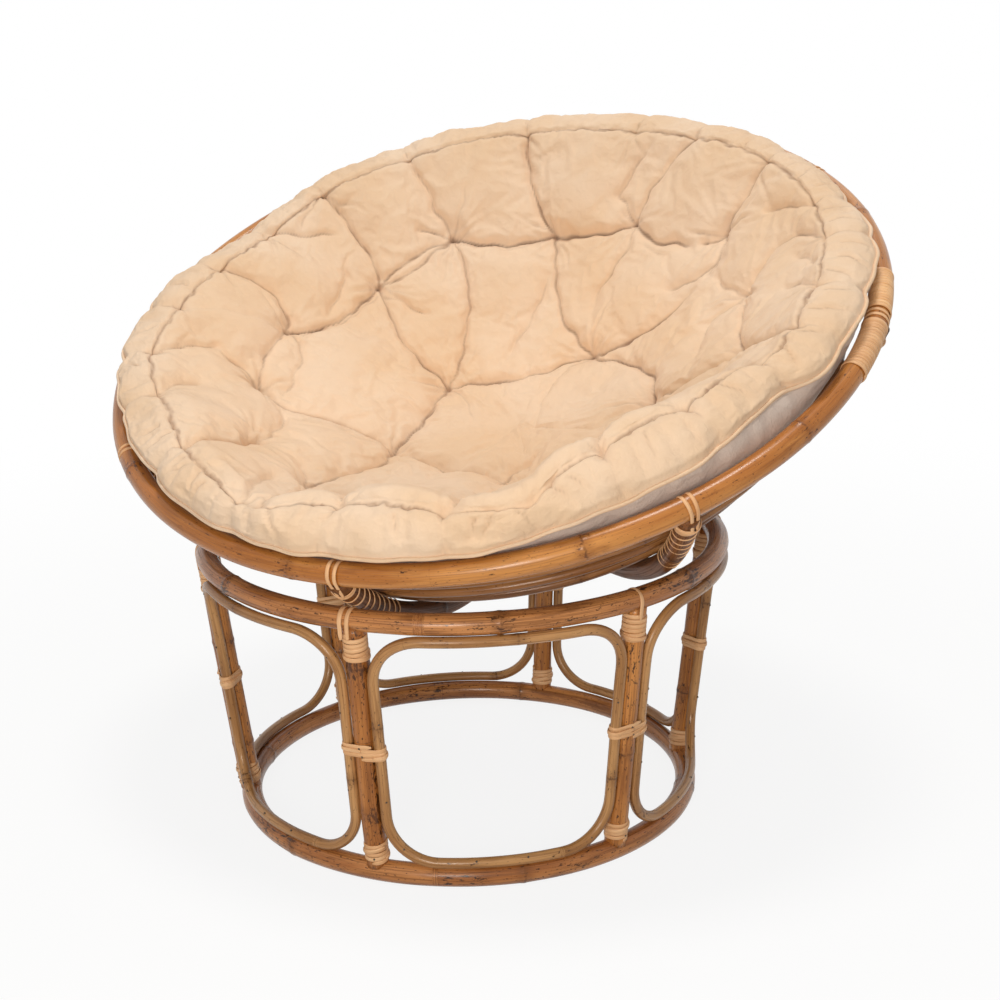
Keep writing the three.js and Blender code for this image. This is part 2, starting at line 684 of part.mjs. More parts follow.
function cushionOutline() {
  const rows = [0, ...hoopAngles.toReversed()].map((angle) => ({
    radius: cushionCurve * Math.sin(angle),
    height: rimDrop - cushionCurve * Math.cos(angle),
    swell: 0,
    tufted: false,
  }));
  const addRow = (radius, height, swell, tufted) => rows.push({ radius, height, swell, tufted });
  addRow(cushionSide, 0, 0, false);
  addRow(cushionSide, CUSHION_EDGE_HEIGHT / 2, 0, false);
  addRow(edgeRadius, CUSHION_EDGE_HEIGHT, 0, false);
  const shoulder = (edgeRadius + crownRadius) / 2;
  const shoulderHeight = lerp(CUSHION_EDGE_HEIGHT, CUSHION_CROWN_HEIGHT, CROWN_SWELL_SHARE);
  addRow(shoulder, shoulderHeight, CROWN_SWELL_SHARE * CUSHION_CROWN_SWELL, true);
  addRow(crownRadius, CUSHION_CROWN_HEIGHT, CUSHION_CROWN_SWELL, true);
  const addDish = (from, to, steps) => {
    for (let i = 0; i < steps; i++) {
      const radius = lerp(from, to, i / steps);
      const swell = CUSHION_SEAM_SWELL * (radius / seamRadius) ** DISH_POWER;
      addRow(radius, dishHeight(radius), swell, true);
    }
  };
  addDish(seamRadius, outerTuftRadius, 4);
  addDish(outerTuftRadius, innerTuftRadius, 5);
  addDish(innerTuftRadius, 0, 3);
  addRow(0, dishHeight(0), 0, true);
  return rows;
}

// How full the cushion is at an angle: the filling has slid towards one side of the front
function fullness(turn) {
  return (1 + Math.cos(turn - radians(CUSHION_FULL_ANGLE))) / 2;
}

function wallSwell(radius, turn) {
  const spreads = (radius - (RIM_RADIUS - CUSHION_WALL_INSET)) / CUSHION_WALL_SPREAD;
  return CUSHION_WALL_SWELL * Math.exp(-(spreads ** 2)) * fullness(turn) ** 2;
}

function tuftRing(count, radius, firstAngle) {
  return Array.from({ length: count }, (_, i) => {
    const turn = radians(firstAngle) + (FULL_TURN * i) / count;
    return new THREE.Vector2(radius * Math.cos(turn), radius * Math.sin(turn));
  });
}

// How far the sewn tufts, and the channels from the outer tufts to the edge, draw the top down
function drawnIn(place, tufts) {
  let depth = 0;
  for (const tuft of tufts) {
    const spreads = place.distanceTo(tuft) / TUFT_SPREAD;
    depth += TUFT_DEPTH * Math.exp(-(spreads ** 2));
  }
  const turn = place.angle() - radians(OUTER_TUFT_ANGLE);
  const nearChannel = ((1 + Math.cos(OUTER_TUFT_COUNT * turn)) / 2) ** 2;
  const outside = THREE.MathUtils.smoothstep(place.length(), innerTuftRadius, seamRadius);
  return depth + CHANNEL_DEPTH * nearChannel * outside;
}

function makeCushion() {
  const outer = tuftRing(OUTER_TUFT_COUNT, outerTuftRadius, OUTER_TUFT_ANGLE);
  const inner = tuftRing(INNER_TUFT_COUNT, innerTuftRadius, INNER_TUFT_ANGLE);
  const tufts = [...outer, ...inner];
  const rows = cushionOutline();
  const positions = [];
  const addPlace = ({ radius, height, swell, tufted }, turn) => {
    const place = new THREE.Vector2(radius * Math.cos(turn), radius * Math.sin(turn));
    const depth = tufted ? drawnIn(place, tufts) : 0;
    const inside = tufted && radius <= seamRadius;
    const rise = swell * fullness(turn) + (inside ? wallSwell(radius, turn) : 0);
    positions.push(place.x, place.y, height + rise - depth - rimDrop);
  };
  const rings = rows.slice(1, -1);
  for (const row of rings) {
    for (let i = 0; i < CUSHION_COLUMNS; i++) {
      addPlace(row, radians(OUTER_TUFT_ANGLE) + (FULL_TURN * i) / CUSHION_COLUMNS);
    }
  }
  const under = rings.length * CUSHION_COLUMNS;
  addPlace(rows[0], 0);
  addPlace(rows.at(-1), 0);
  const triangles = [];
  for (let i = 0; i < CUSHION_COLUMNS; i++) {
    const next = (i + 1) % CUSHION_COLUMNS;
    triangles.push(under, next, i);
    for (let row = 0; row < rings.length - 1; row++) {
      const low = row * CUSHION_COLUMNS;
      const high = low + CUSHION_COLUMNS;
      triangles.push(low + i, low + next, high + next);
      triangles.push(low + i, high + next, high + i);
    }
    const last = (rings.length - 1) * CUSHION_COLUMNS;
    triangles.push(last + i, last + next, under + 1);
  }
  return makeGeometry(positions, triangles);
}

// The chair
function makeBase() {
  const base = new THREE.Group();
  const topRingShape = makeBaseRing(TOP_RING_RADIUS, BASE_POLE_RADIUS, POLE_SIDES);
  const topRing = named("base_top_ring", topRingShape, rattan);
  topRing.position.z = topRingHeight;
  topRing.rotation.z = radians(FRONT_POST_ANGLE);
  const bottomRing = named("base_bottom_ring", makeBottomRing(), rattan);
  bottomRing.position.z = bottomRingHeight;
  bottomRing.rotation.z = radians(FRONT_POST_ANGLE);
  base.add(topRing, bottomRing);
  const cutters = makeRingCutters();
  for (let i = 0; i < POST_COUNT; i++) {
    const angle = radians(FRONT_POST_ANGLE) + (FULL_TURN * i) / POST_COUNT;
    const number = i + 1;
    base.add(named(`post_${number}`, makePost(angle, cutters), rattan));
    base.add(named(`panel_loop_${number}`, makeLoop(angle + Math.PI / POST_COUNT), paleRattan));
    base.add(named(`top_binding_${number}`, makeTopBinding(angle), cane));
    base.add(named(`middle_binding_${number}`, makeMiddleBinding(angle), cane));
    base.add(named(`bottom_binding_${number}`, makeBottomBinding(angle), cane));
  }
  return base;
}

function makeBowl() {
  const bowl = new THREE.Group();
  const poles = new THREE.Group();
  poles.rotation.z = frontRibAngle;
  bowl.add(poles);
  poles.add(named("bowl_rim", makeRim(), rattan));
  JOINT_BINDING_TURNS.forEach((turns, i) => {
    const geometry = makeJointBinding(turns, i === 0 ? -1 : 1);
    const binding = named(`rim_joint_binding_${i + 1}`, geometry, cane);
    binding.position.z = -rimDrop;
    poles.add(binding);
  });
  hoopAngles.forEach((angle, i) => {
    poles.add(named(`bowl_hoop_${i + 1}`, makeHoop(angle, HOOP_STEPS_PER_RIB[i]), paleRattan));
  });
  const ribSolid = makeRib();
  const lashing = makeLashing();
  ribAngles.forEach((angle, i) => {
    const spoke = new THREE.Group();
    spoke.rotation.z = angle;
    spoke.add(named(`bowl_rib_${i + 1}`, fromSolid(ribSolid), rattan));
    spoke.add(named(`rib_lashing_${i + 1}`, lashing, cane));
    poles.add(spoke);
  });
  bowl.add(named("seat_cushion", makeCushion(), canvas));
  bowl.position.z = bowlCentreHeight;
  bowl.rotation.x = radians(BOWL_TILT);
  return bowl;
}

// The finished chair stands on z = 0 with the origin under the middle of its outline
const chair = new THREE.Group();
chair.add(makeBase(), makeBowl());
chair.updateMatrixWorld(true);
const outline = new THREE.Box3().setFromObject(chair, true);
const middle = outline.getCenter(new THREE.Vector3());
chair.position.set(-middle.x, -middle.y, -outline.min.z);
console.log("least gap between the turns of a binding, mm:", leastGap.toFixed(2));
console.log("base axis, x and y:", chair.position.x.toFixed(3), chair.position.y.toFixed(3));
console.log("middle of the bowl's ball, height:", (bowlCentreHeight + chair.position.z).toFixed(3));
console.log("front rib, degrees from +X:", THREE.MathUtils.radToDeg(frontRibAngle).toFixed(2));

export default chair;
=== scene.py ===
# Papasan chair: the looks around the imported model. Metres, +Z up, the chair's front is -Y.
import json
import math

import bpy
import numpy as np
from mathutils import Matrix, Vector


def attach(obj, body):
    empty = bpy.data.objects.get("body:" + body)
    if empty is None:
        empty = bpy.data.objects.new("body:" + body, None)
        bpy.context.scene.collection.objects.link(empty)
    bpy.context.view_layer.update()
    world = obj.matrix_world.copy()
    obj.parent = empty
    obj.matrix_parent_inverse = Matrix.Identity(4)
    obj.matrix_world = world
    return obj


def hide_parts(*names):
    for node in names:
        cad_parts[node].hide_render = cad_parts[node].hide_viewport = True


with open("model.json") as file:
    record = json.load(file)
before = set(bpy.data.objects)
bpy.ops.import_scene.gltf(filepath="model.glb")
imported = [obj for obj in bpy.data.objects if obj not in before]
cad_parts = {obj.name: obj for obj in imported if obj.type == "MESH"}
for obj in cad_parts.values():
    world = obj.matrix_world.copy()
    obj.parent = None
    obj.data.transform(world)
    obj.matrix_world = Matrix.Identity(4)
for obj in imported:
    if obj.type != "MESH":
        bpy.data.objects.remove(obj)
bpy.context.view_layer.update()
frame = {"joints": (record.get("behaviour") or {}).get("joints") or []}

scene = bpy.context.scene

MM = 0.001
TURN = 2 * math.pi

# The base
BASE_HEIGHT = 0.375
TOP_RING = 0.344
BOTTOM_RING = 0.304
POLE = 0.014
FOOT_WEAR = 0.001
FRONT_POST = math.radians(-85.1)
POSTS = 6
LOOP_POLE = 0.007
LOOP_CORNER = 0.062
LOOP_OUTSET = 0.005
LOOP_SEAT = math.radians(72)
CLEAR = 0.0003

# The bowl
RIM = 0.520
RIM_POLE = 0.015
BOWL_DEPTH = 0.326
TILT = math.radians(24.7)
RIB_OUTSET = 0.0065
RIB_ANGLES = [0, 47, 93, 136, 180, 223, 267, 311]
FRONT_RIB = math.radians(-87.44)
JOINT_RIB = 2
RIB_END = 0.060
HOOP_POLE = 0.0065
HOOP_SHARES = [0.872, 0.794, 0.7, 0.53, 0.358, 0.171]

# Heights and curves that follow from them
ball = np.array(frame["joints"][0]["pos_m"])
base_axis = np.array([ball[0], ball[1], 0.0])
bottom_z = POLE - FOOT_WEAR
top_z = BASE_HEIGHT - POLE
bowl_curve = (RIM ** 2 + BOWL_DEPTH ** 2) / (2 * BOWL_DEPTH)
rim_drop = bowl_curve - BOWL_DEPTH
rib_curve = bowl_curve + RIB_OUTSET
hoop_curve = rib_curve - POLE - CLEAR - HOOP_POLE
rim_angle = math.asin(RIM / bowl_curve)
hoop_angles = [share * rim_angle for share in HOOP_SHARES]
rib_angles = [math.radians(angle) for angle in RIB_ANGLES]


# Small helpers

def smooth(x, low, high):
    t = np.clip((np.asarray(x, float) - low) / (high - low), 0, 1)
    return t * t * (3 - 2 * t)


def bell(x, width):
    return np.exp(-(x / width) ** 2)


def unit(v):
    return v / np.linalg.norm(v, axis=-1, keepdims=True)


def circle(turn, reach=1.0):
    """Flat places at these angles and this reach."""
    return np.stack([reach * np.cos(turn), reach * np.sin(turn)], -1)


def outwards(turn):
    return np.stack([np.cos(turn), np.sin(turn), np.zeros_like(turn)], 1)


def bowl_to_world(points):
    """Points of the bowl's own frame, whose origin is its ball's middle, in the chair's frame."""
    x, y, z = np.moveaxis(np.asarray(points, float), -1, 0)
    c, s = math.cos(TILT), math.sin(TILT)
    return np.stack([x, c * y - s * z, s * y + c * z], -1) + ball


def wave(x, seed, octaves=3):
    """Smooth noise along a line, about -1 to 1, the same each run."""
    draw = np.random.default_rng(seed)
    x = np.asarray(x, float)
    total = np.zeros_like(x)
    for octave in range(octaves):
        for _ in range(3):
            rate = 2 ** octave * draw.uniform(0.6, 1.4)
            total += np.sin(TURN * (rate * x + draw.uniform())) / (3 * 1.6 ** octave)
    return total


def make_mesh(name, points, faces, material, layers=None):
    mesh = bpy.data.meshes.new(name)
    mesh.from_pydata(np.asarray(points).tolist(), [], faces)
    for key, values in (layers or {}).items():
        kind, field = ("FLOAT_VECTOR", "vector") if np.ndim(values) == 2 else ("FLOAT", "value")
        layer = mesh.attributes.new(key, kind, "POINT")
        layer.data.foreach_set(field, np.asarray(values, np.float32).ravel())
    mesh.polygons.foreach_set("use_smooth", [True] * len(mesh.polygons))
    mesh.materials.append(material)
    mesh.update()
    piece = bpy.data.objects.new(name, mesh)
    scene.collection.objects.link(piece)
    return piece


def settle(piece, body, node=None):
    """The piece's body and the node that it stands for."""
    if node:
        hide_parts(node)
    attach(piece, body)


def ring_turns(count):
    return np.linspace(0, TURN, count, endpoint=False)


def tube_faces(rings, sides, closed):
    faces = []
    for i in range(rings if closed else rings - 1):
        a, b = i * sides, (i + 1) % rings * sides
        for j in range(sides):
            k = (j + 1) % sides
            faces.append((a + j, a + k, b + k, b + j))
    if not closed:
        faces.append(tuple(range(sides))[::-1])
        faces.append(tuple((rings - 1) * sides + j for j in range(sides)))
    return faces


def run_lengths(points):
    steps = np.linalg.norm(np.diff(points, axis=0), axis=1)
    return np.concatenate([[0], np.cumsum(steps)])


def resample(points, stations, *others):
    """The points, and anything given with them, at these lengths along their line."""
    along = run_lengths(points)
    return [np.stack([np.interp(stations, along, column) for column in row.T], 1)
            for row in (points, *others)]


def line_frame(line, up, closed):
    """The line's ways up and sideways, square to its run."""
    if closed:
        ahead = unit(np.roll(line, -1, 0) - np.roll(line, 1, 0))
    else:
        ahead = unit(np.gradient(line, axis=0))
    side = unit(np.cross(ahead, up))
    return np.cross(side, ahead), side


# Poles. A node's swelling is a sharp ridge on a broad one.

NODE_RINGS = np.array([-12, -8, -5, -3, -1.5, 0, 1.5, 3, 5, 8, 12]) * MM
RIDGE, BROAD_RIDGE = 0.0035, 0.014
BROAD_SHARE = 0.4
END_FADE = 0.05
LAST_NODE = 0.02
UNEVEN_SHARE, UNEVEN_LENGTH = 0.018, 0.22
OVAL_SHARE = 0.02
GRAIN_SHIFT = 40


def make_pole(name, points, ups, radius, material, seed, closed=False, sides=20,
              spacing=0.30, step=0.007, bend=0.0011, swell=0.045):
    """A rattan pole along a line: uneven, slightly kinked and swollen at its nodes."""
    draw = np.random.default_rng(seed)
    if closed:
        points, ups = np.vstack([points, points[:1]]), np.vstack([ups, ups[:1]])
    length = run_lengths(points)[-1]
    places, place = [], spacing * draw.uniform(0.25, 0.8)
    while place < length - LAST_NODE:
        places.append(place)
        place += spacing * draw.uniform(0.75, 1.3)
    places = np.array(places)
    stations = np.linspace(0, length, int(length / step) + 1)
    stations = np.unique(np.concatenate([stations, *[NODE_RINGS + p for p in places]]).round(5))
    stations = stations[(stations >= 0) & (stations <= length)]
    if closed:
        stations = stations[:-1]
    line, up = resample(points, stations, ups)
    up, side = line_frame(line, up, closed)
    to_node = stations[:, None] - places
    nearest = to_node[np.arange(len(stations)), np.abs(to_node).argmin(1)]
    ends = smooth(stations, 0, END_FADE) * smooth(length - stations, 0, END_FADE)
    knots = np.concatenate([[0], places, [length]])
    for direction in (up, side):
        shifts = draw.normal(0, bend, len(knots)) * np.r_[0, np.ones(len(places)), 0]
        line = line + direction * (np.interp(stations, knots, shifts) * ends)[:, None]
    waves = length / UNEVEN_LENGTH
    phase = stations / length * (round(waves) if closed else waves)
    size = radius * (1 + UNEVEN_SHARE * wave(phase, seed + 1, 1) * ends)
    size *= 1 + swell * (bell(nearest, RIDGE) + BROAD_SHARE * bell(nearest, BROAD_RIDGE))
    turn = np.arange(sides) * TURN / sides
    oval = 1 + OVAL_SHARE * np.cos(2 * turn + draw.uniform(0, TURN))
    around_up, around_side = circle(turn, size[:, None] * oval).transpose(2, 0, 1)
    rings = (line[:, None] + up[:, None] * around_up[..., None]
             + side[:, None] * around_side[..., None])
    along = np.repeat(stations + draw.uniform(0, GRAIN_SHIFT), sides)
    layers = {"grain": np.stack([along, around_up.ravel(), around_side.ravel()], 1),
              "node": np.repeat(nearest, sides)}
    faces = tube_faces(len(stations), sides, closed)
    return make_mesh(name, rings.reshape(-1, 3), faces, material, layers)


# Cane strips. A strip's section runs from one edge to the other, as shares of its size.

SECTION_SHARES = np.array([(-0.5, 0), (-0.5, 0.5), (-0.36, 0.86), (-0.13, 1),
                           (0.13, 1), (0.36, 0.86), (0.5, 0.5), (0.5, 0)])
STRIP_STEP = 0.0022
STRIP_END = 0.006
END_SHARE = 0.55
WIDTH_WAVE, WIDTH_SHARE = 0.06, 0.05
TURN_STEPS = 44
RING_STEP, HULL_STEP, WIND_STEP = 4, 3, 1.5
STRAP_STEPS = 60
SLACK_RATE = 0.7


def make_strip(name, points, ups, width, material, seed, thickness=0.0013):
    """A strip of cane along a line, flat where it lies on its pole and domed outside."""
    draw = np.random.default_rng(seed)
    length = run_lengths(points)[-1]
    stations = np.linspace(0, length, max(6, int(length / STRIP_STEP)) + 1)
    line, up = resample(points, stations, ups)
    for _ in range(2):
        line[1:-1] = (line[:-2] + 2 * line[1:-1] + line[2:]) / 4
    up, side = line_frame(line, up, False)
    across, height = SECTION_SHARES.T
    uneven = 1 + WIDTH_SHARE * wave(stations / WIDTH_WAVE, seed + 1, 2)
    ends = smooth(stations, 0, STRIP_END) * smooth(length - stations, 0, STRIP_END)
    wide = (width * uneven * (END_SHARE + (1 - END_SHARE) * ends))[:, None] * across
    tall = thickness * height * np.ones_like(wide)
    rings = line[:, None] + side[:, None] * wide[..., None] + up[:, None] * tall[..., None]
    along = np.repeat(stations + draw.uniform(0, GRAIN_SHIFT), len(across))
    grain = np.stack([along, wide.ravel(), tall.ravel()], 1)
    faces = [face[::-1] for face in tube_faces(len(stations), len(across), False)]
    return make_mesh(name, rings.reshape(-1, 3), faces, material, {"grain": grain})


def wind(poles, start, turns, pitch, seed, lift=0.0, first=0.0, slack=0.09):
    """Places (out, side, along) and normals of a strip wound tight round poles.

    Each pole is (out, side, radius).
    """
    ways = circle(np.radians(np.arange(0, 360, WIND_STEP)))
    centres = np.array([pole[:2] for pole in poles])
    radii = np.array([pole[2] for pole in poles]) + CLEAR + lift
    best = (ways @ centres.T + radii).argmax(1)
    line = centres[best] + ways * radii[best][:, None]
    loop = np.hstack([line, ways])
    loop = np.vstack([loop, loop[:1]])
    shares = run_lengths(loop[:, :2])
    shares = shares / shares[-1]
    t = np.linspace(0, turns, int(turns * TURN_STEPS) + 1) + first
    out, side, out_way, side_way = (np.interp(t % 1.0, shares, column) for column in loop.T)
    along = start + pitch * (t - first) + pitch * slack * wave(t * SLACK_RATE, seed, 2)
    return np.stack([out, side, along], 1), np.stack([out_way, side_way, np.zeros(len(t))], 1)


def over_ring(ring_out, ring_radius, side, inner_end, outer_end, lift=0.0, lean=0.0):
    """Places and normals of a strap that goes up inside a pole, over its ring, and down."""
    grip, pole_grip = ring_radius + CLEAR + lift, POLE + CLEAR + lift
    ring = np.array([ring_out, 0]) + circle(-np.radians(np.arange(0, 360, RING_STEP)), grip)
    inner, outer = len(ring), len(ring) + 1
    cloud = np.vstack([ring, [(-pole_grip, inner_end), (pole_grip, outer_end)]])
    # the hull of the ring and of the strap's two ends, seen along the ring
    ways = circle(np.radians(np.arange(0, 360, HULL_STEP)))
    order = [int((cloud @ way).argmax()) for way in ways]
    hull = [i for k, i in enumerate(order) if k == 0 or order[k - 1] != i]
    # it is walked the way that passes over the far side of the ring
    for step in (1, -1):
        walk, i = [], hull.index(inner)
        while hull[i] != outer:
            walk.append(hull[i])
            i = (i + step) % len(hull)
        path = cloud[walk + [outer]]
        if path[:, 1].min() <= -0.5 * grip:
            break
    lengths = run_lengths(path)
    t = np.linspace(0, lengths[-1], STRAP_STEPS)
    (path,) = resample(path, t)
    ahead = unit(np.gradient(path, axis=0))
    normal = np.stack([-ahead[:, 1], ahead[:, 0]], 1)
    normal *= np.sign(((path - [ring_out, 0]) * normal).sum(1).mean())
    shift = side + lean * (t / lengths[-1] - 0.5)
    return (np.stack([path[:, 0], shift, path[:, 1]], 1),
            np.stack([normal[:, 0], np.zeros(len(t)), normal[:, 1]], 1))


# Materials

def new_material(name):
    material = bpy.data.materials.new(name)
    material.use_nodes = True
    t = Tree(material.node_tree)
    shader = t.new("BsdfPrincipled")
    t.put(t.new("OutputMaterial").inputs["Surface"], shader.outputs["BSDF"])
    return material, t, shader


class Tree:
    """Short words for the nodes that the materials use."""

    def __init__(self, tree):
        self.tree = tree
        tree.nodes.clear()

    def new(self, kind, **settings):
        node = self.tree.nodes.new("ShaderNode" + kind)
        for key, value in settings.items():
            setattr(node, key, value)
        return node

    def put(self, socket, value):
        if isinstance(value, bpy.types.NodeSocket):
            self.tree.links.new(value, socket)
        else:
            socket.default_value = value

    def attribute(self, name, output):
        return self.new("Attribute", attribute_name=name).outputs[output]

    def stretch(self, vector, scale, shift=(0, 0, 0)):
        node = self.new("Mapping")
        self.put(node.inputs["Vector"], vector)
        node.inputs["Scale"].default_value = scale
        node.inputs["Location"].default_value = shift
        return node.outputs[0]

    def texture(self, kind, vector, output, settings, **more):
        node = self.new(kind, **more)
        self.put(node.inputs["Vector"], vector)
        for key, value in settings.items():
            node.inputs[key].default_value = value
        return node.outputs[output]

    def noise(self, vector, scale=1.0, detail=3.0, rough=0.55, distort=0.0):
        return self.texture("TexNoise", vector, 0, {
            "Scale": scale, "Detail": detail, "Roughness": rough, "Distortion": distort})

    def sum(self, operation, a, b=0.0):
        node = self.new("Math", operation=operation)
        self.put(node.inputs[0], a)
        self.put(node.inputs[1], b)
        return node.outputs[0]

    def ramp(self, value, low, high, start=0.0, end=1.0):
        node = self.new("MapRange", interpolation_type="SMOOTHSTEP")
        self.put(node.inputs["Value"], value)
        for key, number in (("From Min", low), ("From Max", high),
                            ("To Min", start), ("To Max", end)):
            node.inputs[key].default_value = number
        return node.outputs[0]

    def mix(self, share, a, b):
        node = self.new("Mix", data_type="RGBA")
        self.put(node.inputs[0], share)
        self.put(node.inputs[6], a)
        self.put(node.inputs[7], b)
        return node.outputs[2]

    def bump(self, height, distance, strength, normal=None):
        node = self.new("Bump")
        node.inputs["Strength"].default_value = strength
        node.inputs["Distance"].default_value = distance
        self.put(node.inputs["Height"], height)
        if normal is not None:
            self.put(node.inputs["Normal"], normal)
        return node.outputs[0]

    def blend(self, share, a, b):
        """Two shaders mixed, b at a share of 1."""
        node = self.new("MixShader")
        for socket, value in zip(node.inputs, (share, a.outputs[0], b.outputs[0])):
            self.put(socket, value)
        return node

    def background_rays(self):
        """1 for a ray that sees the background, straight or in metal or glass."""
        path = self.new("LightPath").outputs
        seen = self.sum("MAXIMUM", path["Is Camera Ray"], path["Is Glossy Ray"])
        return self.sum("MAXIMUM", seen, path["Is Transmission Ray"])


def rgb(colour):
    """A colour as seen, 0 to 255, as the linear colour that a shader takes."""
    def linear(value):
        value /= 255
        return value / 12.92 if value <= 0.04045 else ((value + 0.055) / 1.055) ** 2.4
    return (*map(linear, colour), 1.0)


def make_rattan(name, colours, flecks, gloss, blotch, coat=0.2, streaks=0.65):
    """Colours are pale, main, deep and dark. The grain's x runs along the pole."""
    material, t, shader = new_material(name)
    pale, main, deep, dark = map(rgb, colours)
    grain = t.attribute("grain", "Vector")
    node = t.attribute("node", "Fac")
    broad = t.noise(t.stretch(grain, (5, 38, 38)), detail=2.0)
    patch = t.noise(t.stretch(grain, (12, 70, 70), (3, 1, 7)), detail=4.0, rough=0.65)
    fibre = t.noise(t.stretch(grain, (9, 520, 520)), detail=3.0, rough=0.65)
    fine = t.noise(t.stretch(grain, (40, 1900, 1900)), detail=2.0)
    colour = t.mix(t.ramp(broad, 0.36, 0.64), pale, main)
    colour = t.mix(t.ramp(patch, 0.52, 0.72, 0.0, blotch), colour, deep)
    colour = t.mix(t.ramp(fibre, 0.44, 0.64, 0.0, streaks), colour, deep)
    colour = t.mix(t.ramp(fine, 0.45, 0.75, 0.0, 0.25), colour, pale)
    # dark mottling, dense in some stretches and near the nodes
    near = t.sum("ABSOLUTE", node)
    warp = t.noise(t.stretch(grain, (90, 260, 260), (9, 4, 2)), detail=3.0, rough=0.7)
    wild = t.noise(t.stretch(grain, (7, 20, 20), (1, 8, 3)), detail=2.0)
    closeness = t.ramp(near, 0.0, 0.03, 0.08, 0.0)
    amount = t.sum("ADD", t.ramp(wild, 0.45, 0.75, 0.0, 0.2 * flecks), closeness)
    spots = t.sum("ADD", warp, amount)
    colour = t.mix(t.ramp(spots, 0.64, 0.73, 0.0, 0.9), colour, dark)
    # small dark flecks that lie along the grain
    fleck = t.noise(t.stretch(grain, (170, 430, 430), (5, 2, 8)), detail=1.0)
    rarity = 0.05 * flecks
    colour = t.mix(t.ramp(fleck, 0.70 - rarity, 0.76 - rarity, 0.0, 0.35 + 0.5 * flecks),
                   colour, dark)
    # long scorched and greyed stretches
    scorch = t.noise(t.stretch(grain, (4, 26, 26), (8, 6, 1)), detail=5.0, rough=0.7)
    colour = t.mix(t.ramp(scorch, 0.58, 0.70, 0.0, 0.75 * flecks), colour, deep)
    colour = t.mix(t.ramp(scorch, 0.66, 0.76, 0.0, 0.8 * flecks), colour, dark)
    # the node's own ring
    wobble = t.sum("MULTIPLY", t.sum("SUBTRACT", warp, 0.5), 0.009)
    line = t.sum("ABSOLUTE", t.sum("ADD", node, wobble))
    ring = t.ramp(line, 0.0004, 0.0022, 0.75, 0.0)
    ring = t.sum("MULTIPLY", ring, t.ramp(patch, 0.40, 0.62, 0.25, 1.0))
    colour = t.mix(ring, colour, dark)
    colour = t.mix(t.ramp(near, 0.003, 0.016, 0.38, 0.0), colour, deep)
    t.put(shader.inputs["Base Color"], colour)
    t.put(shader.inputs["Roughness"], t.ramp(fibre, 0.3, 0.75, gloss, gloss + 0.22))
    shader.inputs["Coat Weight"].default_value = coat
    shader.inputs["Coat Roughness"].default_value = 0.2
    shader.inputs["Specular IOR Level"].default_value = 0.22
    relief = t.sum("ADD", t.sum("MULTIPLY", fibre, 0.6), t.sum("MULTIPLY", ring, -0.8))
    t.put(shader.inputs["Normal"], t.bump(relief, 0.0006, 0.55))
    return material


def make_cane_material(name, colours, gloss):
    """Colours are pale, main and deep."""
    material, t, shader = new_material(name)
    pale, main, deep = map(rgb, colours)
    grain = t.attribute("grain", "Vector")
    broad = t.noise(t.stretch(grain, (9, 60, 60)), detail=2.0)
    fibre = t.noise(t.stretch(grain, (20, 1500, 1500)), detail=3.0, rough=0.65)
    speck = t.noise(t.stretch(grain, (160, 420, 420), (2, 5, 1)), detail=3.0, rough=0.7)
    colour = t.mix(t.ramp(broad, 0.35, 0.65), pale, main)
    colour = t.mix(t.ramp(fibre, 0.42, 0.72, 0.0, 0.5), colour, deep)
    colour = t.mix(t.ramp(speck, 0.70, 0.78, 0.0, 0.6), colour, deep)
    t.put(shader.inputs["Base Color"], colour)
    t.put(shader.inputs["Roughness"], t.ramp(fibre, 0.3, 0.75, gloss, gloss + 0.2))
    t.put(shader.inputs["Normal"], t.bump(fibre, 0.0004, 0.6))
    return material


def make_cloth_material(name, colours):
    """Colours are light, main, shade, stain, the painted shade of creases and the painted shade of
    the boxed side.
    """
    material, t, shader = new_material(name)
    light, main, shade, stained, crease_shade_colour, side_shade_colour = map(rgb, colours)
    place = t.attribute("cloth", "Vector")
    broad = t.noise(place, 5.0, 3.0, 0.5)
    soft = t.noise(place, 24.0, 4.0, 0.6)
    crumple = t.noise(place, 70.0, 5.0, 0.62, 0.6)
    threads = {"Scale": 320.0, "Distortion": 1.2}
    warp = t.texture("TexWave", place, "Fac", {**threads, "Detail Scale": 3.0},
                     bands_direction="X")
    weft = t.texture("TexWave", place, "Fac", threads, bands_direction="Y")
    slub = t.noise(t.stretch(place, (400, 40, 40)), detail=2.0)
    stain = t.noise(t.stretch(place, (1, 1, 1), (4, 2, 9)), 31.0, 3.0, 0.7)
    colour = t.mix(t.ramp(broad, 0.35, 0.65), light, main)
    colour = t.mix(t.ramp(soft, 0.5, 0.75, 0.0, 0.3), colour, shade)
    colour = t.mix(t.ramp(slub, 0.55, 0.75, 0.0, 0.18), colour, light)
    colour = t.mix(t.ramp(stain, 0.735, 0.77, 0.0, 0.35), colour, stained)
    # painted shade in the creases, folds, pleats, tufts and along the seam
    colour = t.mix(t.ramp(t.attribute("painted_crease_shade", "Fac"), 0.1, 1.0, 0.0, 0.72), colour, crease_shade_colour)
    # painted shade on the boxed side and the underside, greyer than the top
    colour = t.mix(t.ramp(t.attribute("side", "Fac"), 0.0, 1.0, 0.0, 0.85), colour, side_shade_colour)
    t.put(shader.inputs["Base Color"], colour)
    shader.inputs["Roughness"].default_value = 0.92
    shader.inputs["Sheen Weight"].default_value = 0.12
    shader.inputs["Sheen Roughness"].default_value = 0.5
    first = t.bump(crumple, 0.0035, 0.5)
    second = t.bump(soft, 0.006, 0.35, first)
    t.put(shader.inputs["Normal"], t.bump(t.sum("ADD", warp, weft), 0.00025, 0.35, second))
    return material


def make_metal(name, colours):
    material, t, shader = new_material(name)
    rust = t.noise(t.new("TexCoord").outputs["Object"], 900.0, 3.0)
    t.put(shader.inputs["Base Color"], t.mix(rust, *map(rgb, colours)))
    shader.inputs["Metallic"].default_value = 0.7
    shader.inputs["Roughness"].default_value = 0.45
    return material


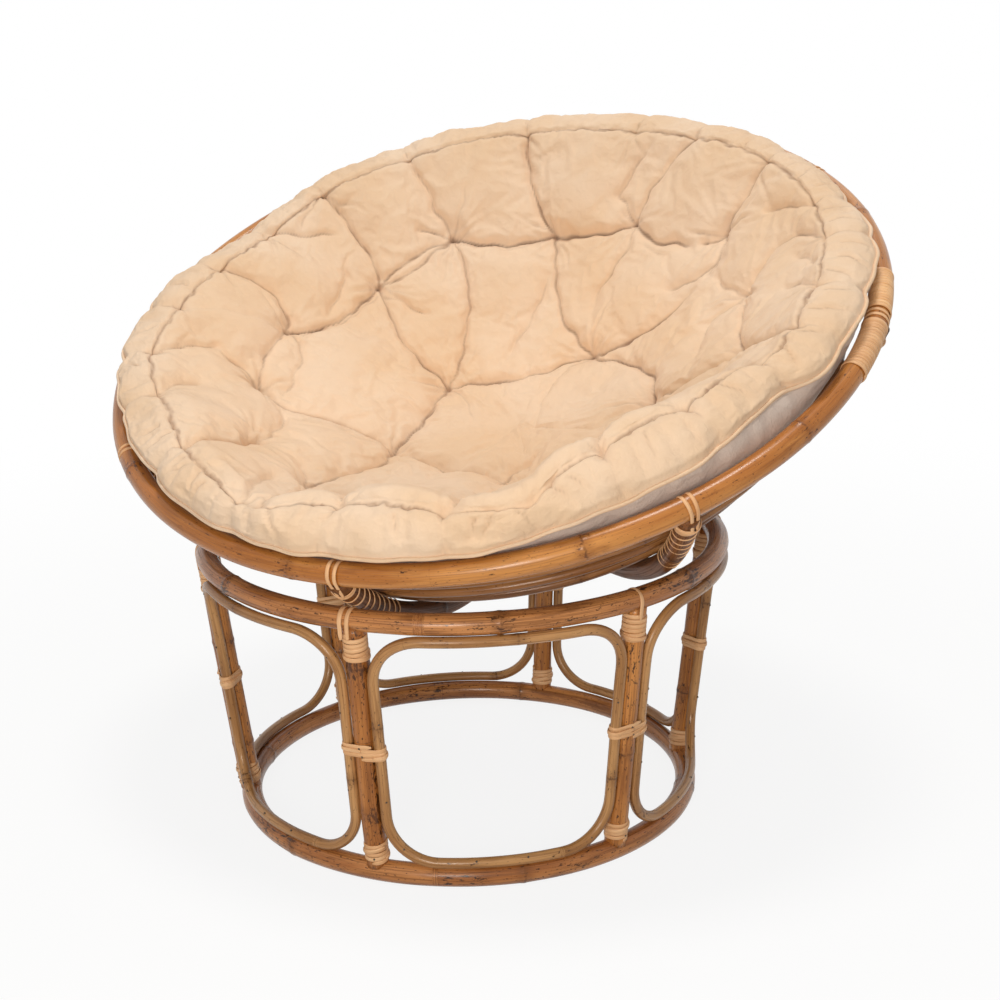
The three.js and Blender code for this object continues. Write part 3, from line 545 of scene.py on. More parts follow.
rim_rattan = make_rattan(
    "rim_rattan", [(208, 142, 74), (178, 110, 48), (134, 76, 28), (48, 22, 9)],
    flecks=0.3, gloss=0.2, blotch=0.6, streaks=0.45)
base_rattan = make_rattan(
    "base_rattan", [(206, 140, 82), (164, 100, 50), (108, 62, 26), (32, 15, 7)],
    flecks=0.85, gloss=0.24, blotch=0.7)
post_rattan = make_rattan(
    "post_rattan", [(206, 138, 72), (170, 106, 50), (118, 68, 28), (38, 18, 8)],
    flecks=1.0, gloss=0.28, blotch=0.6)
rib_rattan = make_rattan(
    "rib_rattan", [(132, 82, 42), (100, 58, 26), (68, 38, 16), (30, 16, 8)],
    flecks=0.65, gloss=0.4, blotch=0.5, coat=0.0)
hoop_rattan = make_rattan(
    "hoop_rattan", [(176, 122, 72), (138, 88, 46), (88, 52, 24), (36, 20, 10)],
    flecks=0.25, gloss=0.26, blotch=0.5, coat=0.25)
loop_rattan = make_rattan(
    "loop_rattan", [(202, 152, 98), (166, 116, 66), (126, 82, 42), (56, 32, 16)],
    flecks=0.3, gloss=0.24, blotch=0.45)
pale_cane = make_cane_material(
    "pale_cane", [(242, 194, 144), (226, 172, 120), (178, 122, 76)], gloss=0.42)
tan_cane = make_cane_material(
    "tan_cane", [(252, 204, 148), (240, 184, 126), (196, 136, 82)], gloss=0.36)
# its fifth colour is the painted shade in creases and its sixth the painted shade on the boxed
# side
cotton = make_cloth_material(
    "cotton", [(240, 211, 181), (235, 201, 165), (222, 185, 150),
               (196, 160, 105), (140, 102, 78), (204, 188, 178)])
nail_metal = make_metal("nail_metal", [(58, 50, 44), (110, 92, 76)])


# The base

BASE_RING_STEPS, BOWL_RING_STEPS = 720, 1440


def base_ring_points(radius, height):
    out = outwards(ring_turns(BASE_RING_STEPS) + FRONT_POST + math.pi / POSTS / 2)
    points = out * radius + base_axis
    points[:, 2] = height
    return points, out


def post_frame(angle, from_top=False):
    radial = np.array([math.cos(angle), math.sin(angle), 0])
    foot = radial * BOTTOM_RING + np.array([0, 0, bottom_z])
    head = radial * TOP_RING + np.array([0, 0, top_z])
    origin, other = (head, foot) if from_top else (foot, head)
    away = unit(other - origin)
    outward = unit(radial - away * radial.dot(away))
    return origin + base_axis, away, outward, np.cross(away, outward)


def post_bend(angle, from_top=False):
    """Turns places (out, side, along) on a post into places in the room."""
    origin, away, outward, sideways = post_frame(angle, from_top)
    def bend(places):
        return (origin + places[:, :1] * outward + places[:, 1:2] * sideways
                + places[:, 2:3] * away)
    return bend


post_length = math.hypot(TOP_RING - BOTTOM_RING, top_z - bottom_z)
post_angles = [FRONT_POST + TURN * i / POSTS for i in range(POSTS)]
for node, radius, height, seed in (("base_top_ring", TOP_RING, top_z, 11),
                                   ("base_bottom_ring", BOTTOM_RING, bottom_z, 12)):
    points, ups = base_ring_points(radius, height)
    ring = make_pole(node + "_pole", points, ups, POLE, base_rattan, seed, closed=True,
                     spacing=0.27, bend=0.0009)
    # the lower ring is worn flat underneath
    for vertex in ring.data.vertices:
        vertex.co.z = max(vertex.co.z, 0.0)
    settle(ring, "base", node)

loop_seat = POLE + LOOP_POLE + CLEAR
loop_gap = 2 * LOOP_POLE + LOOP_POLE + CLEAR
loop_from_post = math.sqrt(loop_gap ** 2 - LOOP_OUTSET ** 2)
loop_rise = loop_seat * math.sin(LOOP_SEAT)
loop_low, loop_high = bottom_z + loop_rise, top_z - loop_rise
loop_middle = (loop_low + loop_high) / 2
RING_CLEAR = 0.0006
CORNER_STEPS, UPRIGHT_STEPS, END_STEPS = 24, 38, 58


def post_line(height):
    share = (height - bottom_z) / (top_z - bottom_z)
    return BOTTOM_RING + (TOP_RING - BOTTOM_RING) * share


def loop_radius(height):
    low = height < loop_middle
    end = np.where(low, loop_low, loop_high)
    ring = np.where(low, BOTTOM_RING, TOP_RING) + RING_CLEAR
    outset = ring + loop_seat * math.cos(LOOP_SEAT) - post_line(end)
    reach = np.abs((height - loop_middle) / (end - loop_middle))
    return post_line(height) + LOOP_OUTSET + (outset - LOOP_OUTSET) * reach ** 3


def loop_points(panel_angle):
    """The middle line of a loop, once round."""
    corner = np.linspace(0, math.pi / 2, CORNER_STEPS)
    rise, inset = LOOP_CORNER * (1 - np.cos(corner)), LOOP_CORNER * (1 - np.sin(corner))
    upright = np.linspace(loop_low + rise[-1], loop_high - LOOP_CORNER, UPRIGHT_STEPS + 2)[1:-1]
    heights = np.concatenate([loop_low + rise, upright, loop_high - inset])
    insets = np.concatenate([inset, np.zeros(UPRIGHT_STEPS), rise])
    half = math.pi / POSTS - (loop_from_post + insets) / post_line(heights)
    top = np.linspace(half[-1], -half[-1], END_STEPS + 2)[1:-1]
    bottom = np.linspace(-half[0], half[0], END_STEPS + 2)[1:-1]
    height = np.concatenate([heights, np.full(END_STEPS, loop_high), heights[::-1],
                             np.full(END_STEPS, loop_low)])
    out = outwards(panel_angle + np.concatenate([half, top, -half[::-1], bottom]))
    points = out * loop_radius(height)[:, None] + base_axis
    points[:, 2] = height
    return points, out


POST_COPE = POLE * 0.55
POST_STEPS = 80
for i, angle in enumerate(post_angles):
    number = i + 1
    origin, away, outward, _ = post_frame(angle)
    reach = np.linspace(POST_COPE, post_length - POST_COPE, POST_STEPS)
    post = make_pole(f"post_{number}_pole", origin + reach[:, None] * away,
                     np.tile(outward, (POST_STEPS, 1)), POLE, post_rattan, 20 + i,
                     spacing=0.2, bend=0.0007)
    settle(post, "base", f"post_{number}")
    points, ups = loop_points(angle + math.pi / POSTS)
    loop = make_pole(f"panel_loop_{number}_pole", points, ups, LOOP_POLE, loop_rattan, 30 + i,
                     closed=True, sides=14, spacing=0.34, bend=0.0006, swell=0.03)
    settle(loop, "base", f"panel_loop_{number}")


def dress(name, node, body, runs, bend, width, material, seed, **more):
    """Strips of cane that stand for one CAD binding. Each run is places and normals."""
    for j, (places, normals) in enumerate(runs):
        points = bend(places)
        ups = unit(bend(places + normals * MM) - points)
        strip = make_strip(f"{name}_{j + 1}", points, ups, width, material, seed + j, **more)
        settle(strip, body, node)


NAIL = 0.0014
NAIL_SIDES = 10
# the head's rings as (reach, lift) in shares of its radius, and the lift of its tip
NAIL_SHARES = [(1.0, -0.6), (1.0, 0.1), (0.72, 0.42)]
TIP_SHARE = 0.52
ASKEW = [0.3, 0.5, 0.8]


def make_nails(name, spots):
    """Small round nail heads, set into cane or a loop. Each spot is a place and its way out."""
    points, faces = [], []
    for point, ahead in spots:
        ahead = unit(np.asarray(ahead, float))
        across = unit(np.cross(ahead, ASKEW))
        other = np.cross(ahead, across)
        first = len(points)
        for reach, lift in NAIL_SHARES:
            for c, s in circle(np.arange(NAIL_SIDES) * TURN / NAIL_SIDES, reach):
                points.append(point + NAIL * (lift * ahead + c * across + s * other))
        points.append(point + NAIL * TIP_SHARE * ahead)
        for k in range(NAIL_SIDES):
            n = (k + 1) % NAIL_SIDES
            rows = range(first, len(points) - 1, NAIL_SIDES)
            for low, high in zip(rows, rows[1:]):
                faces.append((low + k, low + n, high + n, high + k))
            faces.append((rows[-1] + k, rows[-1] + n, len(points) - 1))
        faces.append(tuple(range(first, first + NAIL_SIDES))[::-1])
    settle(make_mesh(name, points, faces, nail_metal), "base")


CANE = 0.0056
FOOT_CANE = CANE * 0.96
OVER = 0.0014
MIDDLE_WIDTH = 0.016
POST_WRAP = [(0, 0, POLE)]
wind_start = POLE + CLEAR + CANE / 2
strap_end = wind_start + 0.004
middle_start = (post_length - MIDDLE_WIDTH) / 2
loop_line = post_line(loop_middle) + LOOP_OUTSET
loop_way = loop_from_post / post_line(loop_middle)
beside_out = loop_line * math.cos(loop_way) - post_line(loop_middle)
beside_side = loop_line * math.sin(loop_way)
BUNDLE = [(0, 0, POLE), (beside_out, beside_side, LOOP_POLE),
          (beside_out, -beside_side, LOOP_POLE)]
# how each strip of a post is wound
TOP_TURNS = {"start": wind_start, "turns": 5.6, "pitch": 0.0061, "slack": 0.06}
TOP_LAST = {"start": wind_start + 0.0325, "turns": 1.1, "pitch": -0.006, "first": 0.6}
MIDDLE_TURNS = {"start": middle_start, "turns": 3.1, "pitch": 0.0056, "slack": 0.12}
MIDDLE_OVER = {"start": middle_start + 0.003, "turns": 0.9, "pitch": 0.010, "first": 0.1}
FOOT_TURNS = {"start": wind_start, "turns": 4.4, "pitch": 0.0058, "slack": 0.08}
FOOT_OVER = {"start": wind_start + 0.003, "turns": 1.0, "pitch": 0.018, "first": 0.2}
STRAP_LIFT = 0.0002
# straps over the ring as (side, lean); the second post has one
STRAPS = [(0.0115, 0.0005), (0.001, 0.004)]
LONE_STRAP = [(0.003, 0.002)]
# nail heads in a post's cane as (side, along)
POST_NAILS = [(0.001, middle_start + 0.004), (-0.002, middle_start + 0.015), (0.003, 0.024)]
POST_NAIL_OUT = POLE + 0.0012
# nails of a loop: shares of its side's points, and points of its lower end
LOOP_NAIL_SHARES = [0.14, 0.34, 0.62, 0.84]
SIDE_POINTS = 2 * CORNER_STEPS + UPRIGHT_STEPS
LAST_SIDE_POINT = 2 * SIDE_POINTS + END_STEPS - 1
LOW_NAILS = [246, 270]
NAIL_OUT = LOOP_POLE * 1.04
INWARDS_SHARE = 0.55
UPWARDS = np.array([0, 0, 0.8])

for i, angle in enumerate(post_angles):
    number = i + 1
    seed = 100 + 10 * i
    turns = wind(POST_WRAP, seed=seed, **TOP_TURNS)
    last = wind(POST_WRAP, seed=seed + 1, lift=OVER, **TOP_LAST)
    straps = [over_ring(0, POLE, side, strap_end, strap_end, lift=STRAP_LIFT, lean=lean)
              for side, lean in (LONE_STRAP if number == 2 else STRAPS)]
    dress(f"top_binding_{number}_cane", f"top_binding_{number}", "base",
          [turns, last, *straps], post_bend(angle, from_top=True), CANE, pale_cane, seed)
    bend = post_bend(angle)
    middle = wind(BUNDLE, seed=seed + 3, **MIDDLE_TURNS)
    over = wind(BUNDLE, seed=seed + 4, lift=OVER, **MIDDLE_OVER)
    dress(f"middle_binding_{number}_cane", f"middle_binding_{number}", "base", [middle, over],
          bend, CANE, pale_cane, seed + 3)
    foot = wind(POST_WRAP, seed=seed + 5, **FOOT_TURNS)
    cross = wind(POST_WRAP, seed=seed + 6, lift=OVER, **FOOT_OVER)
    dress(f"bottom_binding_{number}_cane", f"bottom_binding_{number}", "base", [foot, cross],
          bend, FOOT_CANE, pale_cane, seed + 6)
    heads = []
    for side, along in POST_NAILS:
        place = np.array([[POST_NAIL_OUT, side, along]])
        (spot,), (tip,) = bend(place), bend(place + [MM, 0, 0])
        heads.append((spot, tip - spot))
    # nails that hold the loop to its posts, on the side of its opening
    line, outs = loop_points(angle + math.pi / POSTS)
    draw = np.random.default_rng(400 + i)
    leans = []
    for share in LOOP_NAIL_SHARES:
        near, far = (int(SIDE_POINTS * (share + draw.uniform(-0.03, 0.03))) for _ in range(2))
        for k in (near, LAST_SIDE_POINT - far):
            leans.append((k, INWARDS_SHARE * unit(line[LAST_SIDE_POINT - k] - line[k])))
    leans += [(k, UPWARDS) for k in LOW_NAILS]
    for k, lean in leans:
        way = unit(lean + outs[k])
        heads.append((line[k] + NAIL_OUT * way, way))
    make_nails(f"nails_{number}", heads)


# The bowl

def bowl_ring_points(curve, angle):
    out = outwards(ring_turns(BOWL_RING_STEPS) + FRONT_RIB + rib_angles[JOINT_RIB])
    out = out * math.sin(angle) - np.array([0, 0, math.cos(angle)])
    return bowl_to_world(out * curve), bowl_to_world(out) - ball


points, ups = bowl_ring_points(bowl_curve, rim_angle)
rim = make_pole("bowl_rim_pole", points, ups, RIM_POLE, rim_rattan, 41, closed=True, sides=28,
                spacing=0.33, step=0.006, bend=0.0012, swell=0.035)
settle(rim, "bowl", "bowl_rim")

for i, angle in enumerate(hoop_angles):
    points, ups = bowl_ring_points(hoop_curve, angle)
    hoop = make_pole(f"bowl_hoop_{i + 1}_pole", points, ups, HOOP_POLE, hoop_rattan, 50 + i,
                     closed=True, sides=12, spacing=0.36, step=0.01, bend=0.0007, swell=0.03)
    settle(hoop, "bowl", f"bowl_hoop_{i + 1}")


def rib_bend(spoke):
    """Places (out, side, along) on a rib, which runs from the rim down the bowl."""
    turn = FRONT_RIB + rib_angles[spoke]
    c, s = math.cos(turn), math.sin(turn)
    def bend(places):
        out, side, along = places.T
        angle = rim_angle - along / rib_curve
        reach = (rib_curve + out) * np.sin(angle)
        drop = (rib_curve + out) * np.cos(angle)
        return bowl_to_world(np.stack([c * reach + s * side, s * reach - c * side, -drop], 1))
    return bend


LASH, SPIRAL = 0.0048, 0.0026
LASH_STRAPS = [(-0.0065, 0.004), (0.0035, -0.003)]
RIB_STEPS = 160
RIB_COPE = RIM_POLE * 0.42
rib_length = (rim_angle - math.asin(RIB_END / rib_curve)) * rib_curve
lash_start = RIM_POLE + 0.010
inner_lash = lash_start + 0.004
LASH_KNOT = {"start": lash_start - 0.002, "turns": 1.5, "pitch": 0.006, "lift": 0.0004}
LASH_OVER = {"start": lash_start + 0.006, "turns": 1.2, "pitch": -0.009, "first": 0.4}
LASH_SPIRAL = {"start": lash_start + 0.006, "turns": 9.0, "pitch": 0.0143, "slack": 0.1}
# the front lashing lies flatter, so that it clears the ring's binding as the bowl tips
LASH_LIFT, FRONT_LASH_LIFT = 0.0015, 0.0003
SPIRAL_THICKNESS = 0.0010
for i in range(len(rib_angles)):
    number = i + 1
    bend = rib_bend(i)
    along = np.linspace(RIB_COPE, rib_length, RIB_STEPS)
    places = along[:, None] * np.array([0, 0, 1])
    points = bend(places)
    ups = unit(bend(places + [MM, 0, 0]) - points)
    rib = make_pole(f"bowl_rib_{number}_pole", points, ups, POLE, rib_rattan, 60 + i,
                    spacing=0.24, bend=0.0008)
    settle(rib, "bowl", f"bowl_rib_{number}")
    seed = 200 + 10 * i
    runs = [over_ring(-RIB_OUTSET, RIM_POLE, side, inner_lash, lash_start, lean=lean)
            for side, lean in LASH_STRAPS]
    knot = wind(POST_WRAP, seed=seed, **LASH_KNOT)
    cross = wind(POST_WRAP, seed=seed + 1, lift=LASH_LIFT if i else FRONT_LASH_LIFT, **LASH_OVER)
    dress(f"rib_lashing_{number}_strap", f"rib_lashing_{number}", "bowl", [*runs, knot, cross],
          bend, LASH, pale_cane, seed)
    spiral = wind(POST_WRAP, seed=seed + 2, **LASH_SPIRAL)
    dress(f"rib_lashing_{number}_spiral", None, "bowl", [spiral], bend, SPIRAL, pale_cane,
          seed + 5, thickness=SPIRAL_THICKNESS)


def rim_bend(places):
    """Places (out, side, along) on the rim, along being measured from the front rib."""
    out, side, along = places.T
    flat = circle(FRONT_RIB + along / RIM, RIM + out)
    return bowl_to_world(np.column_stack([flat, -side - rim_drop]))


RIM_WRAP = [(0, 0, RIM_POLE)]
RIM_PITCH = 0.00585
BESIDE_RIB = 0.0140
# a binding's two loose ends: how far in from its own, and where on the turn they start
RIM_ENDS = [(0.001, 0.2), (-0.003, 0.6)]
RIM_END = {"turns": 1.0, "pitch": 0.002, "lift": 0.0007}
joint_rib = rib_angles[JOINT_RIB] * RIM
for number, turns, material in ((1, 16.6, pale_cane), (2, 14.6, tan_cane)):
    start = joint_rib + (BESIDE_RIB if number == 2 else -BESIDE_RIB - turns * RIM_PITCH)
    run = wind(RIM_WRAP, start, turns, RIM_PITCH, 300 + number, slack=0.02)
    seed = 310 + 20 * number
    dress(f"rim_joint_binding_{number}_cane", f"rim_joint_binding_{number}", "bowl", [run],
          rim_bend, CANE, material, seed)
    ends = [wind(RIM_WRAP, end + inset, seed=seed + 3, first=first, **RIM_END)
            for end, (inset, first) in zip((start, start + turns * RIM_PITCH), RIM_ENDS)]
    dress(f"rim_joint_end_{number}", None, "bowl", ends, rim_bend, CANE, material, seed + 5)


# The cushion. Its lines are in the bowl's frame, where 270 degrees is the front, and its tables
# are in millimetres and degrees.

# the border seam and the cushion's edge: angle, radius, height over the rim's middle
SEAM_LINE = [(0, 447, 70), (13, 450, 64), (22, 453, 60), (32, 458, 56), (45, 464, 52),
             (60, 464, 48), (82, 456, 44), (91, 452, 44), (105, 453, 45), (115, 457, 45),
             (129, 455, 46), (142, 456, 46), (148, 460, 45), (157, 456, 37), (166, 452, 35),
             (175, 450, 46), (184, 456, 50), (195, 466, 52), (205, 472, 54), (217, 460, 56),
             (222, 455, 57), (232, 460, 58), (240, 468, 60), (247, 476, 62), (255, 490, 62),
             (260, 492, 62), (266, 474, 64), (272, 464, 65), (278, 464, 66), (284, 472, 66),
             (290, 482, 66), (296, 496, 66), (301, 492, 70), (306, 464, 76), (311, 450, 78),
             (317, 440, 78), (321, 436, 77), (327, 440, 76), (332, 440, 76), (340, 442, 74),
             (344, 456, 72), (351, 452, 71)]
EDGE_LINE = [(0, 514, 45), (8, 514, 46), (18, 517, 42), (30, 508, 34), (45, 506, 28),
             (60, 510, 26), (75, 512, 25), (96, 511, 24), (117, 514, 25), (130, 514, 26),
             (142, 509, 26), (150, 507, 25), (158, 499, 19), (167, 497, 19), (176, 509, 28),
             (182, 514, 32), (190, 517, 33), (205, 519, 35), (214, 515, 35), (222, 511, 34),
             (235, 511, 33), (246, 515, 29), (256, 518, 26), (270, 519, 25), (285, 519, 25),
             (297, 518, 26), (302, 512, 30), (308, 508, 32), (314, 506, 34), (322, 504, 36),
             (328, 496, 38), (334, 489, 40), (338, 486, 40), (341, 489, 38), (345, 506, 40),
             (352, 512, 42)]
# how far the near wall stands in from the dish: angle, rise
WALL_RISE = [(0, 0), (20, 0), (45, 0), (90, 0), (180, 0), (215, 6), (240, 12), (265, 16),
             (290, 20), (305, 24), (318, 22), (330, 8), (345, 0)]
# the angles at which the seam is drawn in, and those of the band's pleats
KNOTS = [5, 21, 33, 53, 71, 84, 106, 130, 148, 163, 177, 190, 204, 218, 236, 256, 272, 288, 300,
         312, 327, 342, 353]
PLEATS = [2, 9, 13, 17, 25, 29, 37, 42, 47, 59, 184, 197, 209, 228.5, 231.5, 239.5, 242, 245,
          248.5, 262, 281, 292.5, 295.5, 298, 303.5, 306, 319, 334, 347, 351, 357]
# tufts: radius, angle
TUFTS = [(340, 3), (345, 28), (372, 52), (347, 78), (321, 99), (344, 126), (323, 150), (347, 179),
         (345, 201), (363, 228), (345, 245), (337, 265), (340, 290), (340, 315), (340, 338),
         (143, 157), (157, 69), (200, 5), (170, 295), (180, 222)]
# creases: depth, width, and the radius and angle of each point
CREASES = [
    (13, 7, [(344, 126), (323, 120), (315, 113), (313, 106), (321, 99)]),
    (4, 6, [(331, 125), (312, 117), (305, 107), (321, 99)]),
    (13, 7, [(321, 99), (318, 93), (324, 86), (347, 78)]),
    (9, 7, [(347, 78), (329, 71), (331, 66), (346, 56)]),
    (4, 7, [(327, 75), (317, 69), (317, 60)]),
    (8, 8, [(346, 56), (358, 53), (372, 52)]),
    (10, 8, [(372, 52), (398, 52), (432, 52), (468, 53)]),
    (7, 9, [(372, 52), (357, 49), (337, 47), (317, 48), (294, 52), (271, 59)]),
    (6, 7, [(347, 78), (368, 82), (377, 84), (405, 82), (432, 80), (453, 80)]),
    (7, 7, [(347, 78), (364, 77), (398, 76), (417, 74), (442, 73), (464, 71)]),
    (9, 7, [(321, 99), (339, 102), (368, 104), (393, 105), (430, 106), (456, 106)]),
    (3, 6, [(428, 101), (392, 102), (361, 102)]),
    (6, 7, [(344, 126), (378, 128), (408, 128), (441, 129), (458, 130)]),
    (4, 7, [(342, 126), (372, 122), (407, 119)]),
    (6, 6, [(344, 126), (358, 131), (366, 135)]),
    (8, 6, [(344, 126), (335, 133), (334, 140), (323, 150)]),
    (8, 7, [(344, 126), (321, 136), (313, 143), (323, 150)]),
    (9, 7, [(323, 150), (339, 148), (367, 147), (400, 147), (431, 147), (458, 148)]),
    (12, 7, [(323, 150), (314, 158), (314, 166), (322, 175), (347, 179)]),
    (5, 6, [(313, 152), (307, 160), (310, 169), (327, 178)]),
    (8, 8, [(347, 179), (355, 176), (373, 174), (396, 173), (420, 174), (450, 176)]),
    (3, 8, [(345, 180), (387, 184), (424, 187), (452, 190)]),
    (5, 9, [(328, 172), (335, 163), (355, 156), (390, 150)]),
    (7, 8, [(347, 179), (349, 186), (354, 193), (345, 201)]),
    (5, 7, [(329, 180), (316, 184), (310, 193), (317, 201), (331, 206)]),
    (6, 7, [(406, 196), (385, 197), (364, 198), (345, 201), (339, 204), (331, 206)]),
    (8, 8, [(323, 150), (277, 153), (249, 156), (201, 158), (143, 157)]),
    (5, 7, [(310, 151), (287, 148), (262, 145), (242, 141)]),
    (8, 8, [(344, 126), (305, 125), (272, 126), (231, 129), (191, 136), (158, 147), (143, 157)]),
    (3, 8, [(334, 127), (302, 131), (266, 137)]),
    (8, 8, [(143, 157), (119, 142), (103, 117), (113, 93), (132, 81), (157, 69)]),
    (10, 8, [(143, 157), (135, 172), (140, 194), (157, 212), (180, 222)]),
    (4, 8, [(132, 159), (105, 164), (79, 179), (65, 215)]),
    (8, 8, [(321, 99), (281, 98), (247, 96), (207, 93), (179, 83), (157, 69)]),
    (5, 8, [(285, 98), (247, 100), (204, 104), (169, 111), (137, 122)]),
    (6, 8, [(347, 78), (322, 76), (280, 78), (247, 80), (216, 79), (205, 80)]),
    (10, 8, [(157, 69), (166, 54), (182, 39), (205, 20), (200, 5)]),
    (10, 9, [(157, 69), (193, 55), (234, 49), (275, 47), (310, 45)]),
    (6, 9, [(310, 45), (330, 46), (344, 47), (372, 52)]),
    (4, 9, [(148, 67), (123, 73), (80, 73), (44, 61), (48, 321)]),
    (8, 9, [(180, 222), (210, 234), (241, 239), (284, 242), (345, 245)]),
    (3, 8, [(181, 229), (193, 243), (224, 257)]),
    (6, 8, [(200, 288), (161, 285), (116, 294), (101, 315)]),
    (6, 9, [(345, 201), (310, 208), (277, 207), (234, 209), (180, 222)]),
    (8, 7, [(464, 236), (423, 234), (390, 232), (363, 228)]),
    (5, 7, [(363, 228), (346, 226), (325, 220), (315, 215), (320, 207)]),
    (6, 8, [(347, 236), (325, 235), (330, 241), (355, 248), (418, 257), (488, 259)]),
    (5, 7, [(488, 256), (470, 255), (415, 248), (369, 243)]),
    (6, 7, [(472, 204), (433, 198), (397, 194)]),
    (5, 7, [(458, 217), (440, 213), (410, 209)]),
    (8, 8, [(457, 161), (438, 158), (422, 153), (402, 149)]),
    (6, 7, [(436, 157), (446, 154), (454, 151), (459, 148)]),
    (5, 7, [(412, 45), (434, 40), (456, 34), (460, 33)]),
    (7, 8, [(345, 28), (398, 33), (430, 30), (453, 21)]),
    (5, 8, [(328, 44), (323, 37), (345, 28)]),
    (5, 8, [(408, 25), (425, 21), (445, 13)]),
    (5, 8, [(391, 17), (430, 10), (448, 5)]),
    (5, 12, [(268, 12), (272, 24), (294, 29), (345, 28)]),
    (8, 9, [(340, 3), (394, 358), (430, 354), (450, 353)]),
    (6, 8, [(200, 5), (260, 2), (300, 2), (340, 3)]),
    (6, 8, [(200, 5), (260, 350), (300, 343), (340, 338)]),
    (6, 8, [(340, 338), (390, 340), (442, 342)]),
    (6, 8, [(340, 315), (390, 314), (448, 312)]),
    (6, 8, [(340, 290), (400, 291), (480, 289)]),
    (6, 8, [(337, 265), (400, 268), (464, 272)]),
    (8, 8, [(340, 3), (330, 350), (340, 338)]),
    (8, 8, [(340, 338), (325, 326), (340, 315)]),
    (8, 8, [(340, 315), (325, 302), (340, 290)]),
    (8, 8, [(340, 290), (322, 277), (337, 265)]),
    (8, 8, [(337, 265), (322, 255), (345, 245)]),
    (8, 8, [(345, 28), (330, 16), (340, 3)]),
    (7, 8, [(170, 295), (240, 292), (340, 290)]),
    (7, 8, [(170, 295), (250, 308), (340, 315)]),
    (7, 8, [(170, 295), (180, 330), (200, 5)]),
    (7, 8, [(170, 295), (150, 258), (180, 222)]),
]

# The dish's profile, and the grid that the cover's heights are worked out on
REST_CURVE = hoop_curve - HOOP_POLE - 2 * CLEAR - 0.0012
DISH_MIDDLE = rim_drop - REST_CURVE + 0.108
DISH_SEAM = 0.455
DISH_POWER = 1.7
SEAM_HEIGHT = 0.055
SEAM_SINK = 0.010
BAND_LENGTH = 0.095
BAND_ARCH = 0.004
CELL = 0.0023
GRID_MARGIN = 0.03
COARSEST = 0.02
WARP = 0.0016

# Creases, folds and pleats: how near an anchor one starts, what is held, and the shade painted
# along them
ANCHORED = 0.03
HELD, EDGE_HELD = 0.0024, 0.002
HELD_DEPTH, DARKEST = 5, 10
HELD_SHARE, KNOT_HELD_SHARE = 0.35, 0.2
LOOSE_END_SHARE, SAG_SHARE, UNEVEN_DEPTH_SHARE = 0.3, 0.25, 0.25
CREASE_SHARP_SHARE, KNOT_SHARP_SHARE = 0.62, 0.6
CREASE_BOX, FOLD_BOX, PLEAT_BOX = 0.04, 0.02, 0.03
CREASE_SHADE_WIDTH, FOLD_SHADE_WIDTH, KNOT_SHADE_WIDTH, TUFT_SHADE_WIDTH = 0.0026, 0.0028, 0.0030, 0.004
TUFT_FOLDS, KNOT_FOLDS = 9, 5
FOLD_LENGTHS, FOLD_DEPTHS, FOLD_WIDTHS = (0.035, 0.105), (0.0012, 0.0040), (0.0028, 0.0045)
FOLD_START, PAST_SEAM, FOLD_SHADE_STRENGTH = 0.005, 0.01, 120
FOLD_LIP_SHARE, PLEAT_LIP_SHARE, PLEAT_SHADE_SHARE = 0.35, 0.3, 0.55
PLEAT, PLEAT_DEPTHS = 0.0045, (0.0025, 0.005)
PLEAT_STARTS, PLEAT_ENDS = (-0.006, 0.02), (0.055, BAND_LENGTH)
KNOT_CREASE, KNOT_START, KNOT_DEPTHS = 0.008, -0.002, (0.002, 0.008)
BACK_KNOT_SHARE, KNOT_SHADE_SHARE = 0.45, 0.6

# Puffs, tufts, the seam's puckers and the wrinkles. Pits are (depth, width), ripples are
# (height, seed, shortest, longest, count), and waves round the cushion are
# (height, count, seed, octaves).
DISH_PUFF, BAND_PUFF = 0.014, 0.006
PUFF_LOAD = 9.0
TUFT_PITS = [(0.010, 0.020), (0.006, 0.005)]
RAY, RAY_HEIGHT, RAY_STARTS = 0.045, 0.0016, (0.002, 0.010)
SEAM_SWAYS = [(0.0022, 48, 33, 2), (0.001, 130, 34, 1)]
PUCKER, PUCKER_WIDTH = 0.0013, 0.009
PUCKERS = [(1, 120, 31, 2), (0.6, 240, 32, 1)]
GATHERS = [(1, 26, 35, 2)]
SEAM_PITS = [(0.0042, 0.0030), (0.0022, 0.011)]
RIPPLES = [(0.0005, 71, 0.02, 0.045, 14), (0.0003, 72, 0.009, 0.018, 14),
           (0.0010, 73, 0.05, 0.09, 8)]
RIPPLE_BEND, RIPPLE_SWAYS = 0.02, (0.08, 0.16)
BAND_COMB = [(0.0009, 60, 41, 3)]

# The cover's mesh, its side and its underside
COLUMNS = 860
DISH_ROWS, BAND_ROWS, SIDE_ROWS, UNDER_ROWS = 170, 40, 8, 26
ROW_POWER, BAND_POWER_R, BAND_POWER_W = 0.9, 1.25, 1.7
WALL_SHARE, WALL_WIDTH_SHARE, WALL_END_SHARES = 0.93, 0.11, (0.94, 1.0)
CALM_SHARE, CALM_SHARES = 0.9, (0.8, 1.0)
KNOT_SPREAD, KNOT_PULL_R, KNOT_PULL_W = 1.6, 0.004, 0.003
EDGE_SWAYS_R, EDGE_SWAYS_W = [(0.0022, 22, 51, 2)], [(0.002, 18, 52, 2)]
SIDE_FOOT_R, SIDE_FOOT_W = 0.4985, 0.004
SIDE_BULGE, SIDE_SWAYS = 0.004, [(0.6, 44, 61, 2)]
SIDE_CLOTH, UNDER_CLOTH = 0.05, 0.5
RIM_REACH_W, INSIDE_RIM = 0.024, 0.5035
SAG, SAG_REACH = 0.0035, (0.004, 0.03)
REST_ANGLE, SETTLED_SHARE = 0.045, 0.12
LOWER_CLOTH, PIPING_CLOTH = 0.3, 0.1
PIPING, PIPING_OUT, PIPING_SIDES = 0.0026, 0.0012, 8

